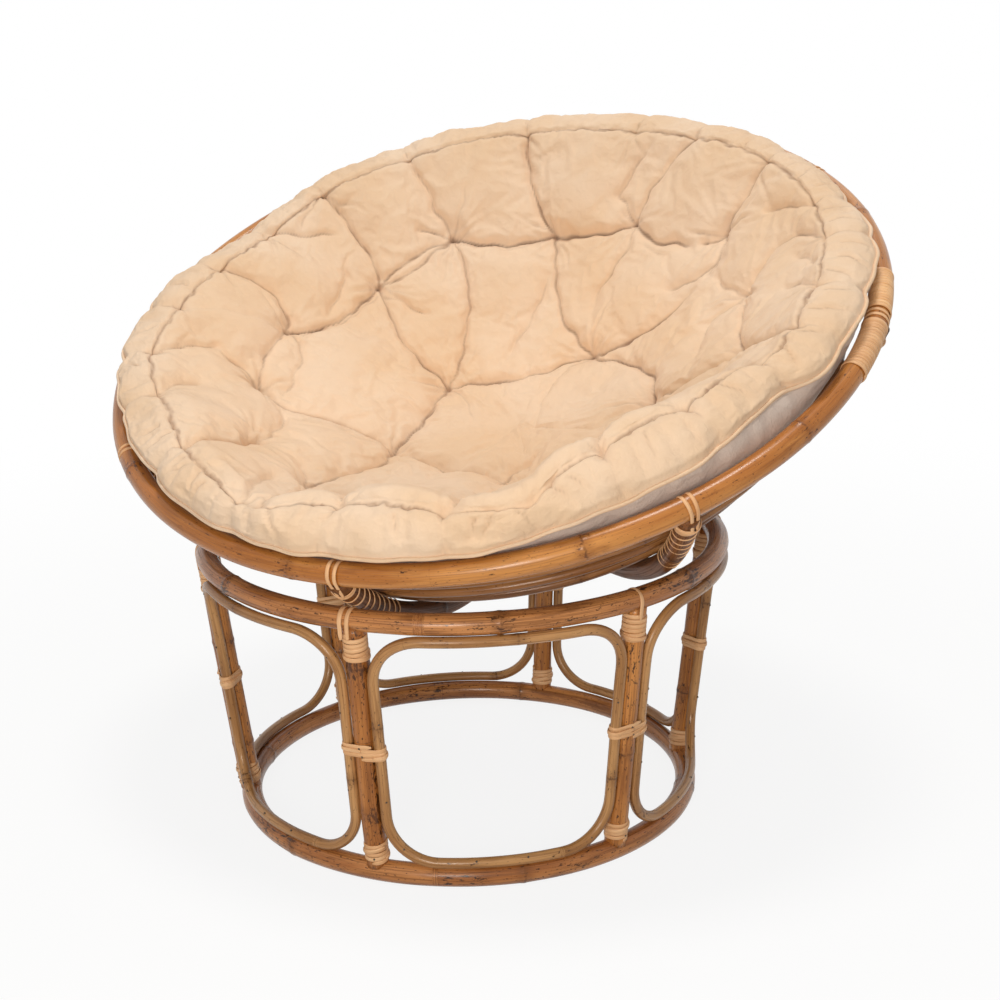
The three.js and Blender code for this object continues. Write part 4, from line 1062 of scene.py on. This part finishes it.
# The cloth simulation
SIM_CELL = 0.0052
SIM_FRAMES = 20
SIM_MOST, SIM_MARGIN = 0.007, 0.001
EDGE_HOLD, ANCHOR_HOLD, SEAM_HOLD = np.array([0.014, 0.006]), (0.004, 0.010), 0.005
CREASE_HOLD_SHARE, SEAM_HOLD_SHARE = 0.5, 0.4
HOLD_STEPS = 10
CLOTH_SETTINGS = {
    "quality": 4, "mass": 0.25, "tension_stiffness": 25, "compression_stiffness": 25,
    "shear_stiffness": 10, "bending_stiffness": 0.3, "tension_damping": 8,
    "compression_damping": 8, "shear_damping": 8, "bending_damping": 0.5, "air_damping": 3,
    "vertex_group_mass": "hold", "pin_stiffness": 2, "shrink_min": -0.028, "use_pressure": True,
    "uniform_pressure_force": 0.8}


def around(table, angles):
    """Each number of a table's rows after the angle, at these angles, as a smooth closed line."""
    rows = np.array(table, float)
    far = np.concatenate([rows[-3:, 0] - 360, rows[:, 0], rows[:3, 0] + 360])
    angles = np.mod(np.asarray(angles, float), 360)
    i = np.clip(np.searchsorted(far, angles) - 1, 0, len(far) - 2)
    gap = far[i + 1] - far[i]
    t = (angles - far[i]) / gap
    found = []
    for column in rows.T[1:]:
        value = np.concatenate([column[-3:], column, column[:3]])
        slope = np.gradient(value, far)
        found.append((2 * t ** 3 - 3 * t ** 2 + 1) * value[i]
                     + (t ** 3 - 2 * t ** 2 + t) * gap * slope[i]
                     + (3 * t ** 2 - 2 * t ** 3) * value[i + 1]
                     + (t ** 3 - t ** 2) * gap * slope[i + 1])
    return found


# Flat places: the cushion's top laid out flat, its lengths from the middle kept

flat_r = np.linspace(0, DISH_SEAM, 200)
flat_w = DISH_MIDDLE + (SEAM_HEIGHT - DISH_MIDDLE) * (flat_r / DISH_SEAM) ** DISH_POWER
flat_s = run_lengths(np.stack([flat_r, flat_w], 1))
seam_reach = flat_s[-1]
outer_reach = seam_reach + BAND_LENGTH
HALF = int((outer_reach + GRID_MARGIN) / CELL)
axis = np.arange(-HALF, HALF + 1) * CELL
cell_x, cell_y = np.meshgrid(axis, axis)
cell_reach = np.hypot(cell_x, cell_y)
turn_shares = np.degrees(np.arctan2(cell_y, cell_x)) % 360 / 360

# a gentle unevenness, so that no crease runs smoothly
warp_x = WARP * (np.sin(cell_x / 0.011 + 2 * np.sin(cell_y / 0.023))
                 + 0.8 * np.sin(cell_y / 0.0066 + 1.3 * np.sin(cell_x / 0.017)))
warp_y = WARP * (np.sin(cell_y / 0.010 + 2 * np.sin(cell_x / 0.021) + 1)
                 + 0.8 * np.sin(cell_x / 0.0072 + 1.3 * np.sin(cell_y / 0.019) + 2))


def lay_flat(radius_mm, degrees):
    """The flat place of a point on the dish; a point past the seam is kept to the seam's line."""
    share = np.minimum(radius_mm / around(SEAM_LINE, degrees)[0], 1.03)
    reach = np.interp(share * DISH_SEAM, flat_r, flat_s) + np.maximum(share - 1, 0) * seam_reach
    return circle(np.radians(degrees), reach)


def soft_line(points):
    """A line with its corners rounded, its two ends kept."""
    for _ in range(3):
        near = 0.75 * points[:-1] + 0.25 * points[1:]
        far = 0.25 * points[:-1] + 0.75 * points[1:]
        inner = np.stack([near, far], 1).reshape(-1, 2)
        points = np.vstack([points[:1], inner, points[-1:]])
    return points


def far_from(line, margin):
    """The grid's box round a line, each cell's distance from it, and the share along it."""
    low = np.floor((line.min(0) - margin) / CELL).astype(int) + HALF
    high = np.ceil((line.max(0) + margin) / CELL).astype(int) + HALF + 1
    low, high = np.maximum(low, 0), np.minimum(high, len(axis))
    box = (slice(low[1], high[1]), slice(low[0], high[0]))
    spots = np.stack([cell_x[box] + warp_x[box], cell_y[box] + warp_y[box]], -1)
    best = np.full(spots.shape[:2], 1e9)
    along = np.zeros_like(best)
    lengths = run_lengths(line)
    for k in range(len(line) - 1):
        a, b = line[k], line[k + 1]
        ab = b - a
        t = np.clip(((spots - a) @ ab) / max(ab @ ab, 1e-12), 0, 1)
        gap = np.hypot(*np.moveaxis(spots - a - t[..., None] * ab, -1, 0))
        nearer = gap < best
        best = np.where(nearer, gap, best)
        along = np.where(nearer, lengths[k] + t * (lengths[k + 1] - lengths[k]), along)
    return box, best, along / lengths[-1]


def valley(reach, sharp_share):
    """A crease's section: sharp in the middle and broad beside it."""
    return sharp_share * np.exp(-1.5 * reach) + (1 - sharp_share) * bell(reach, 1.7)


def fold(gap, width, lip_share):
    """A fold's section: a hollow with a low lip beside it."""
    return bell(gap, width) - lip_share * bell(gap - 2 * width, width)


grooves = np.zeros_like(cell_x)
crease_shade = np.zeros_like(cell_x)
pinned = cell_reach > outer_reach - EDGE_HELD


def carve(box, cut, painted_shade):
    """The deeper of the hollows that are there and a new one, and the shade painted in them."""
    grooves[box] = np.where(cut > 0, np.maximum(grooves[box], cut), grooves[box] + cut)
    crease_shade[box] = np.maximum(crease_shade[box], painted_shade)


tuft_spots = lay_flat(*np.array(TUFTS, float).T)
knot_spots = lay_flat(around(SEAM_LINE, KNOTS)[0], np.array(KNOTS, float))
anchors = np.vstack([tuft_spots, knot_spots])
for k, (depth, width, points) in enumerate(CREASES):
    line = soft_line(lay_flat(*np.array(points, float).T))
    box, gap, along = far_from(line, CREASE_BOX)
    fade = np.ones_like(gap)
    for end, from_end in ((line[0], along), (line[-1], 1 - along)):
        if min(np.hypot(*(anchors - end).T)) >= ANCHORED:
            fade *= smooth(from_end, 0, LOOSE_END_SHARE)
    uneven = 1 + UNEVEN_DEPTH_SHARE * wave(along * 2, 900 + k, 2)
    depths = depth * MM * fade * (1 - SAG_SHARE * np.sin(math.pi * along)) * uneven
    cut = depths * valley(gap / (width * MM) * 1.25, CREASE_SHARP_SHARE)
    # painted shade along the crease, darker for a deeper crease
    carve(box, cut, fade * bell(gap, CREASE_SHADE_WIDTH) * min(1, depth / DARKEST) * uneven)
    if depth >= HELD_DEPTH:
        pinned[box] |= (gap < HELD) & (fade > HELD_SHARE)

# Short thin folds that run out from each tuft, and inwards from each knot of the seam
fold_draw = np.random.default_rng(12)
fold_starts = [(spot, None) for spot in tuft_spots for _ in range(TUFT_FOLDS)]
fold_starts += [(spot, math.atan2(-spot[1], -spot[0])) for spot in knot_spots
                for _ in range(KNOT_FOLDS)]
for spot, way in fold_starts:
    turn = fold_draw.uniform(0, TURN) if way is None else way + fold_draw.uniform(-0.9, 0.9)
    length = fold_draw.uniform(*FOLD_LENGTHS)
    reach = np.linspace(FOLD_START, length, 7)
    line = spot + circle(turn + fold_draw.uniform(-0.35, 0.35) * reach / length, reach)
    line = line[np.hypot(*line.T) < seam_reach + PAST_SEAM]
    depth, width = fold_draw.uniform(*FOLD_DEPTHS), fold_draw.uniform(*FOLD_WIDTHS)
    if len(line) < 3:
        continue
    box, gap, along = far_from(line, FOLD_BOX)
    depth = depth * (1 - smooth(along, 0.25, 1))
    # a fold's hollow and the shade painted in it
    carve(box, depth * fold(gap, width, FOLD_LIP_SHARE),
          FOLD_SHADE_STRENGTH * depth * bell(gap, FOLD_SHADE_WIDTH))

# The band outside the seam, with pleats and a crease at each knot of the seam
draw = np.random.default_rng(5)
for place in PLEATS:
    sway = draw.uniform(-3.0, 3.0)
    start, end = draw.uniform(*PLEAT_STARTS), draw.uniform(*PLEAT_ENDS)
    line = circle(np.radians(place + np.linspace(0, sway, 6)),
                  seam_reach + np.linspace(start, end, 6))
    box, gap, along = far_from(line, PLEAT_BOX)
    fade = smooth(along, 0, 0.15) * (1 - 0.7 * smooth(along, 0.4, 1))
    depth = draw.uniform(*PLEAT_DEPTHS)
    # each pleat's hollow and the shade painted in it
    carve(box, depth * fade * fold(gap, PLEAT, PLEAT_LIP_SHARE),
          PLEAT_SHADE_SHARE * fade * bell(gap, FOLD_SHADE_WIDTH))
for place in KNOTS:
    sway = draw.uniform(-2.0, 2.0)
    line = circle(np.radians(place + np.linspace(0, sway, 8)),
                  seam_reach + np.linspace(KNOT_START, BAND_LENGTH, 8))
    box, gap, along = far_from(line, CREASE_BOX)
    # the knots at the back are shallow
    depth = draw.uniform(*KNOT_DEPTHS) * (BACK_KNOT_SHARE if 40 < place < 165 else 1)
    fade = 1 - 0.6 * smooth(along, 0.15, 0.6) + 0.4 * smooth(along, 0.7, 1)
    # each knot's crease and the shade painted in it
    carve(box, depth * fade * valley(gap / KNOT_CREASE, KNOT_SHARP_SHARE),
          KNOT_SHADE_SHARE * fade * bell(gap, KNOT_SHADE_WIDTH))
    pinned[box] |= (gap < HELD) & (along < KNOT_HELD_SHARE)


def coarsen(field):
    """A cell of twice the size is held where one of its four is."""
    rows = (len(field) - 1) // 2
    return field[:2 * rows, :2 * rows].reshape(rows, 2, rows, 2).any((1, 3))


def blow_up(pins, load):
    """Cloth drawn tight over a filling and held at its pins: the heights over the grid."""
    levels, cells = [pins], [CELL]
    while cells[-1] < COARSEST:
        levels.append(coarsen(levels[-1]))
        cells.append(cells[-1] * 2)
    height = np.zeros(levels[-1].shape)
    for rounds, held, cell in zip((500, 260, 160, 90, 90), levels[::-1], cells[::-1]):
        if height.shape != held.shape:
            finer = height.repeat(2, 0).repeat(2, 1)
            height = np.zeros(held.shape)
            rows = min(len(finer), len(height))
            height[:rows, :rows] = finer[:rows, :rows]
        for _ in range(rounds):
            spread = np.zeros_like(height)
            spread[1:-1, 1:-1] = (height[:-2, 1:-1] + height[2:, 1:-1]
                                  + height[1:-1, :-2] + height[1:-1, 2:]) / 4
            height = np.where(held, 0, spread + load * cell * cell / 4)
    return height


def ripple(seed, low, high, count):
    """Gentle wrinkles over the grid that run about outwards from the middle."""
    draw = np.random.default_rng(seed)
    total = np.zeros_like(cell_x)
    for _ in range(count):
        size = draw.uniform(low, high)
        way = draw.uniform(0, math.pi)
        bend = draw.uniform(0.6, 1.4) * RIPPLE_BEND
        line = cell_x * math.cos(way) + cell_y * math.sin(way)
        across = cell_y * math.cos(way) - cell_x * math.sin(way)
        for cells in (cell_x, cell_y):
            line = line + bend * np.sin(cells / draw.uniform(*RIPPLE_SWAYS) + draw.uniform(0, 6))
        patch = np.clip(np.sin(across / (size * 2.2) + draw.uniform(0, 6))
                        * np.sin(line / (size * 3.1) + draw.uniform(0, 6)), 0, 1)
        total += np.sin(TURN * line / size) * patch
    return total / math.sqrt(count)


def waves(table, shares):
    """Waves round the cushion, each (height, count, seed, octaves)."""
    return sum(height * wave(shares * count, seed, octaves)
               for height, count, seed, octaves in table)


in_band = cell_reach > seam_reach
puff_limit = np.where(in_band, BAND_PUFF, DISH_PUFF)
field = puff_limit * (1 - np.exp(-blow_up(pinned, PUFF_LOAD) / puff_limit)) - grooves
for spot in tuft_spots:
    x, y = cell_x - spot[0], cell_y - spot[1]
    gap, way = np.hypot(x, y), np.arctan2(y, x)
    for depth, width in TUFT_PITS:
        field -= depth * bell(gap, width)
    # painted shade in the tuft's pit
    crease_shade = np.maximum(crease_shade, bell(gap, TUFT_SHADE_WIDTH))
    count = draw.integers(8, 12)
    rays = np.cos(count * way + draw.uniform(0, TURN) + 1.2 * np.sin(2 * way + draw.uniform(0, 6)))
    reach = RAY * (1 + 0.5 * np.cos(3 * way + draw.uniform(0, 6)))
    sharp = 1 - 2 * np.abs(rays) ** 0.5
    field += RAY_HEIGHT * sharp * bell(gap, reach) * smooth(gap, *RAY_STARTS)

# Puckers across the seam, and soft wrinkles in the band and the dish
seam_gap = np.abs(cell_reach - seam_reach + waves(SEAM_SWAYS, turn_shares))
gathered = 0.55 + 0.45 * np.clip(waves(GATHERS, turn_shares), -1, 1)
field += PUCKER * waves(PUCKERS, turn_shares) * bell(seam_gap, PUCKER_WIDTH) * gathered
for depth, width in SEAM_PITS:
    field -= depth * bell(seam_gap, width)
# painted shade along the seam, darker where it is gathered
crease_shade = np.maximum(crease_shade, (0.6 + 0.5 * gathered) * bell(seam_gap, FOLD_SHADE_WIDTH))
for height, seed, low, high, count in RIPPLES:
    field += height * ripple(seed, low, high, count)
band_share = np.clip((cell_reach - seam_reach) / BAND_LENGTH, 0, 1)
arch = np.where(in_band, np.sin(math.pi * band_share) ** 0.5, 0)
field += waves(BAND_COMB, turn_shares) * arch


def between(grid, rows, columns):
    """The grid's values at fractions of its rows and columns."""
    i, j = rows.astype(int), columns.astype(int)
    u, v = rows - i, columns - j
    if grid.ndim > 2:
        u, v = u[..., None], v[..., None]
    return ((1 - u) * ((1 - v) * grid[i, j] + v * grid[i, j + 1])
            + u * ((1 - v) * grid[i + 1, j] + v * grid[i + 1, j + 1]))


def sample(grid, spots, cell=CELL):
    """The grid's values at flat places; its middle is the cushion's."""
    place = np.clip(spots / cell + len(grid) // 2, 0, len(grid) - 1.001)
    return between(grid, place[..., 1], place[..., 0])


def with_height(turn, reach, height):
    return np.concatenate([circle(turn, reach), (height * np.ones(COLUMNS))[..., None]], -1)


# The cover's top, as rows from the middle to the edge
angles = np.arange(COLUMNS) * 360 / COLUMNS
turn = np.radians(angles)
seam_r, seam_w = (value * MM for value in around(SEAM_LINE, angles))
edge_r, edge_w = (value * MM for value in around(EDGE_LINE, angles))
(wall_rise,) = (value * MM for value in around(WALL_RISE, angles))
knot_gap = np.abs((angles[:, None] - np.array(KNOTS) + 180) % 360 - 180)
knot_close = bell(knot_gap.min(1), KNOT_SPREAD)
edge_r = edge_r - KNOT_PULL_R * knot_close + waves(EDGE_SWAYS_R, angles / 360)
edge_w = edge_w - KNOT_PULL_W * knot_close + waves(EDGE_SWAYS_W, angles / 360)
seam_w = seam_w - SEAM_SINK

t = np.linspace(0, 1, DISH_ROWS + 1)[1:, None] ** ROW_POWER
rise = wall_rise * bell(t - WALL_SHARE, WALL_WIDTH_SHARE) * (1 - smooth(t, *WALL_END_SHARES))
dish = with_height(turn, seam_r * t, DISH_MIDDLE + (seam_w - DISH_MIDDLE) * t ** DISH_POWER + rise)
dish_reach = np.interp(t * DISH_SEAM, flat_r, flat_s)
# the band rises a little from the seam, then rolls over to the edge
t = np.linspace(0, 1, BAND_ROWS + 1)[1:, None]
band = with_height(turn, seam_r + (edge_r - seam_r) * (1 - (1 - t) ** BAND_POWER_R),
                   seam_w + (edge_w - seam_w) * t ** BAND_POWER_W + BAND_ARCH * 4 * t * (1 - t))
base = np.concatenate([dish, band])
reach = np.concatenate([dish_reach, seam_reach + t * BAND_LENGTH])
flat = circle(turn, reach)
normal = unit(np.cross(np.gradient(base, axis=0), np.roll(base, -1, 1) - np.roll(base, 1, 1)))
normal *= np.sign(normal[..., 2:3].mean())
calmed = CALM_SHARE * smooth(t - 1 / BAND_ROWS, *CALM_SHARES)
edge_fade = 1 - np.concatenate([np.zeros_like(dish_reach), calmed])
top = base + normal * (sample(field, flat) * edge_fade)[..., None]
# the painted crease shade, carried over to the cover's top
crease_shade_on_top = sample(crease_shade, flat)
middle = np.array([0, 0, DISH_MIDDLE + sample(field, np.zeros(2))])


def on_top(spots):
    """The cover's places over flat places."""
    rows = np.concatenate([np.tile(middle, (1, COLUMNS, 1)), top])
    rows = np.concatenate([rows, rows[:, :1]], 1)
    far = np.hypot(spots[:, 0], spots[:, 1])
    row = np.interp(far, np.concatenate([[0], reach[:, 0]]), np.arange(len(rows)))
    way = np.degrees(np.arctan2(spots[:, 1], spots[:, 0])) % 360
    return between(rows, np.clip(row, 0, len(rows) - 1.001), way / 360 * COLUMNS)


def simulate_cover():
    """How far the cloth moves at each place of a square grid over the flat cover.

    The cover is cut a little too big for its filling: simulated as cloth that is held at its
    tufts, creases and edge, it draws into wrinkles, and their moves are carried over to the
    finer mesh.
    """
    half = int(outer_reach / SIM_CELL) + 1
    line = np.arange(-half, half + 1) * SIM_CELL
    grid = np.stack(np.meshgrid(line, line), -1)
    inside = np.hypot(grid[..., 0], grid[..., 1]) < outer_reach - SIM_MARGIN
    number = np.full(inside.shape, -1)
    number[inside] = np.arange(inside.sum())
    spots = grid[inside]
    places = on_top(spots)
    quads = np.stack([number[:-1, :-1], number[:-1, 1:], number[1:, 1:], number[1:, :-1]], -1)
    mesh = bpy.data.meshes.new("cover_trial")
    mesh.from_pydata(places.tolist(), [], quads[(quads >= 0).all(-1)].tolist())
    trial = bpy.data.objects.new("cover_trial", mesh)
    scene.collection.objects.link(trial)
    far = np.hypot(spots[:, 0], spots[:, 1])
    hold = smooth(far, *(outer_reach - EDGE_HOLD))
    for spot in anchors:
        gap = np.hypot(spots[:, 0] - spot[0], spots[:, 1] - spot[1])
        hold = np.maximum(hold, 1 - smooth(gap, *ANCHOR_HOLD))
    creased = sample(pinned.astype(float), spots)
    hold = np.maximum(hold, CREASE_HOLD_SHARE * np.clip(creased * 1.5, 0, 1))
    hold = np.maximum(hold, SEAM_HOLD_SHARE * bell(far - seam_reach, SEAM_HOLD))
    hold = (hold * HOLD_STEPS).round()
    group = trial.vertex_groups.new(name="hold")
    for level in np.unique(hold[hold > 0]):
        group.add(np.nonzero(hold == level)[0].tolist(), float(level / HOLD_STEPS), "REPLACE")
    cover = trial.modifiers.new("cover", "CLOTH")
    for key, value in CLOTH_SETTINGS.items():
        setattr(cover.settings, key, value)
    cover.settings.effector_weights.gravity = 0
    cover.collision_settings.use_collision = False
    cover.point_cache.frame_start = 1
    cover.point_cache.frame_end = SIM_FRAMES
    for frame_number in range(1, SIM_FRAMES + 1):
        scene.frame_set(frame_number)
    shaped = trial.evaluated_get(bpy.context.evaluated_depsgraph_get())
    found = np.empty(places.size)
    shaped.data.vertices.foreach_get("co", found)
    moves = found.reshape(-1, 3) - places
    size = np.linalg.norm(moves, axis=1, keepdims=True)
    moved = np.zeros((*inside.shape, 3))
    moved[inside] = moves * np.minimum(1, SIM_MOST / np.maximum(size, 1e-9))
    bpy.data.objects.remove(trial)
    scene.frame_set(1)
    return moved


top = top + sample(simulate_cover(), flat, SIM_CELL)

# The boxed side below the edge, tucked inside the rim, and the underside on the hoops
edge = top[-1]
edge_r, edge_w = np.hypot(edge[:, 0], edge[:, 1]), edge[:, 2]
t = np.linspace(0, 1, SIDE_ROWS + 1)[1:, None]
bulge = SIDE_BULGE * np.sin(math.pi * t) * (1 + waves(SIDE_SWAYS, angles / 360))
side_r = edge_r + (SIDE_FOOT_R - edge_r) * t ** 0.7 + bulge
side_w = edge_w + (SIDE_FOOT_W - edge_w) * t
side = with_height(turn, np.minimum(side_r, np.where(side_w < RIM_REACH_W, INSIDE_RIM, 1)), side_w)
side_reach = outer_reach + t * SIDE_CLOTH
t = np.linspace(0, 1, UNDER_ROWS + 1)[1:-1, None]
angle = (rim_angle - REST_ANGLE) * (1 - t)
hoop_gap = np.abs(angle - np.array(hoop_angles)).min(1, keepdims=True) * hoop_curve
curve = REST_CURVE + SAG * smooth(hoop_gap, *SAG_REACH)
resting = smooth(t, 0, SETTLED_SHARE)
under_r = curve * np.sin(angle) * resting + (1 - resting) * SIDE_FOOT_R
under_w = ((rim_drop - curve * np.cos(angle)) * resting
           + (1 - resting) * SIDE_FOOT_W * (1 - 3 * t))
under = with_height(turn, under_r, under_w)
low_flat = circle(turn, np.concatenate([side_reach, side_reach[-1:] + t * UNDER_CLOTH]))

rows = np.concatenate([top, side, under])
points = np.vstack([rows.reshape(-1, 3), middle, [0, 0, rim_drop - REST_CURVE]])
top_count, low_count = crease_shade_on_top.size, low_flat.size // 2
middle_top, middle_low = len(points) - 2, len(points) - 1
faces = [face[::-1] for face in tube_faces(len(rows), COLUMNS, False)[:-2]]
for j in range(COLUMNS):
    k = (j + 1) % COLUMNS
    last = middle_top - COLUMNS
    faces += [(middle_top, j, k), (middle_low, last + k, last + j)]
cloth = np.zeros((len(points), 3))
cloth[:top_count, :2] = flat.reshape(-1, 2)
cloth[top_count:middle_top, :2] = low_flat.reshape(-1, 2)
lower = np.concatenate([np.zeros(top_count), np.ones(low_count), [0, 1]])
cloth[:, 2] = LOWER_CLOTH * lower
# the side attribute paints shade on the boxed side and the underside
layers = {"cloth": cloth, "side": lower,
          "painted_crease_shade": np.concatenate([crease_shade_on_top.ravel(), np.zeros(low_count + 2)])}
cushion = make_mesh("seat_cushion_cloth", bowl_to_world(points - [0, 0, rim_drop]), faces,
                    cotton, layers)
settle(cushion, "cushion", "seat_cushion")

# Piping along the edge
line = bowl_to_world(edge - [0, 0, rim_drop])
middle_of_rim = bowl_to_world([0, 0, -rim_drop])
out, across = line_frame(line, unit(line - middle_of_rim), True)
ring = (line + PIPING_OUT * out)[:, None]
for way, share in zip((out, across), circle(np.arange(PIPING_SIDES) * TURN / PIPING_SIDES).T):
    ring = ring + PIPING * way[:, None] * share[:, None]
piping_flat = np.column_stack([flat[-1], np.full(COLUMNS, PIPING_CLOTH)]).repeat(PIPING_SIDES, 0)
none = np.zeros(COLUMNS * PIPING_SIDES)
piping = make_mesh("seat_cushion_piping", ring.reshape(-1, 3),
                   tube_faces(COLUMNS, PIPING_SIDES, True), cotton,
                   {"cloth": piping_flat, "painted_crease_shade": none, "side": none})
settle(piping, "cushion", "seat_cushion")


# Floor, light and camera

FLOOR = 12
WHITE = (1, 1, 1, 1)
GROUND = (0.46, 0.45, 0.43, 1)
PALE = (0.86, 0.86, 0.86, 1)
LIT_STRENGTH = 0.42
SHADOW_FADE, WHITE_SHARES = (0.6, 2.2), (0.86, 1.0)


def make_stage_material():
    """A floor that lights the chair as a pale one does, and is seen white with a soft shadow."""
    material = bpy.data.materials.new("stage_white")
    material.use_nodes = True
    t = Tree(material.node_tree)
    ground, pale = t.new("BsdfDiffuse"), t.new("BsdfDiffuse")
    ground.inputs["Color"].default_value = GROUND
    pale.inputs["Color"].default_value = PALE
    apart = t.new("VectorMath", operation="LENGTH")
    t.put(apart.inputs[0], t.new("TexCoord").outputs["Object"])
    white_share = t.ramp(apart.outputs["Value"], *SHADOW_FADE, *WHITE_SHARES)
    seen = t.blend(white_share, pale, t.new("Emission"))
    floor = t.blend(t.background_rays(), ground, seen)
    t.put(t.new("OutputMaterial").inputs["Surface"], floor.outputs[0])
    return material


floor_mesh = bpy.data.meshes.new("floor")
corners = [(-FLOOR, -FLOOR, 0), (FLOOR, -FLOOR, 0), (FLOOR, FLOOR, 0), (-FLOOR, FLOOR, 0)]
floor_mesh.from_pydata(corners, [], [(0, 1, 2, 3)])
floor_mesh.materials.append(make_stage_material())
floor = bpy.data.objects.new("floor", floor_mesh)
scene.collection.objects.link(floor)

scene.view_settings.view_transform = "Standard"
world_data = bpy.data.worlds.new("studio")
scene.world = world_data
world_data.use_nodes = True
t = Tree(world_data.node_tree)
lit, seen = t.new("Background"), t.new("Background")
for node, strength in ((lit, LIT_STRENGTH), (seen, 1.0)):
    node.inputs["Color"].default_value = WHITE
    node.inputs["Strength"].default_value = strength
t.put(t.new("OutputWorld").inputs["Surface"], t.blend(t.background_rays(), lit, seen).outputs[0])


AIM = Vector((0.0, -0.1, 0.5))
# each lamp's name, place, size, watts and colour
LAMPS = [("key", (0.1, 0.0, 6.0), 1.7, 146, (1.0, 0.97, 0.92)),
         ("front", (0.8, -2.5, 0.8), 0.7, 26, (1.0, 0.96, 0.90)),
         ("back", (-0.6, 2.4, 2.9), 1.6, 8, (1.0, 0.98, 0.95))]
for name, place, size, watts, colour in LAMPS:
    data = bpy.data.lights.new(name, "AREA")
    data.shape = "DISK"
    data.size = size
    data.energy = watts
    data.color = colour
    lamp = bpy.data.objects.new(name, data)
    lamp.location = place
    lamp.rotation_mode = "QUATERNION"
    lamp.rotation_quaternion = (AIM - Vector(place)).to_track_quat("-Z", "Y")
    lamp.visible_camera = False
    scene.collection.objects.link(lamp)

CAMERA_PLACE = (1.07007, -2.15481, 1.085)
CAMERA_AHEAD = Vector((-0.42559624, 0.86056502, -0.27981365)).normalized()
CAMERA_UP = Vector((-0.10591183, 0.25971986, 0.95985847))
camera_data = bpy.data.cameras.new("camera")
camera_data.lens = 64.07
camera_data.sensor_width = 36
camera = bpy.data.objects.new("camera", camera_data)
scene.collection.objects.link(camera)
across = CAMERA_AHEAD.cross(CAMERA_UP).normalized()
turned = Matrix((across, across.cross(CAMERA_AHEAD), -CAMERA_AHEAD)).transposed()
camera.matrix_world = Matrix.Translation(CAMERA_PLACE) @ turned.to_4x4()
scene.camera = camera
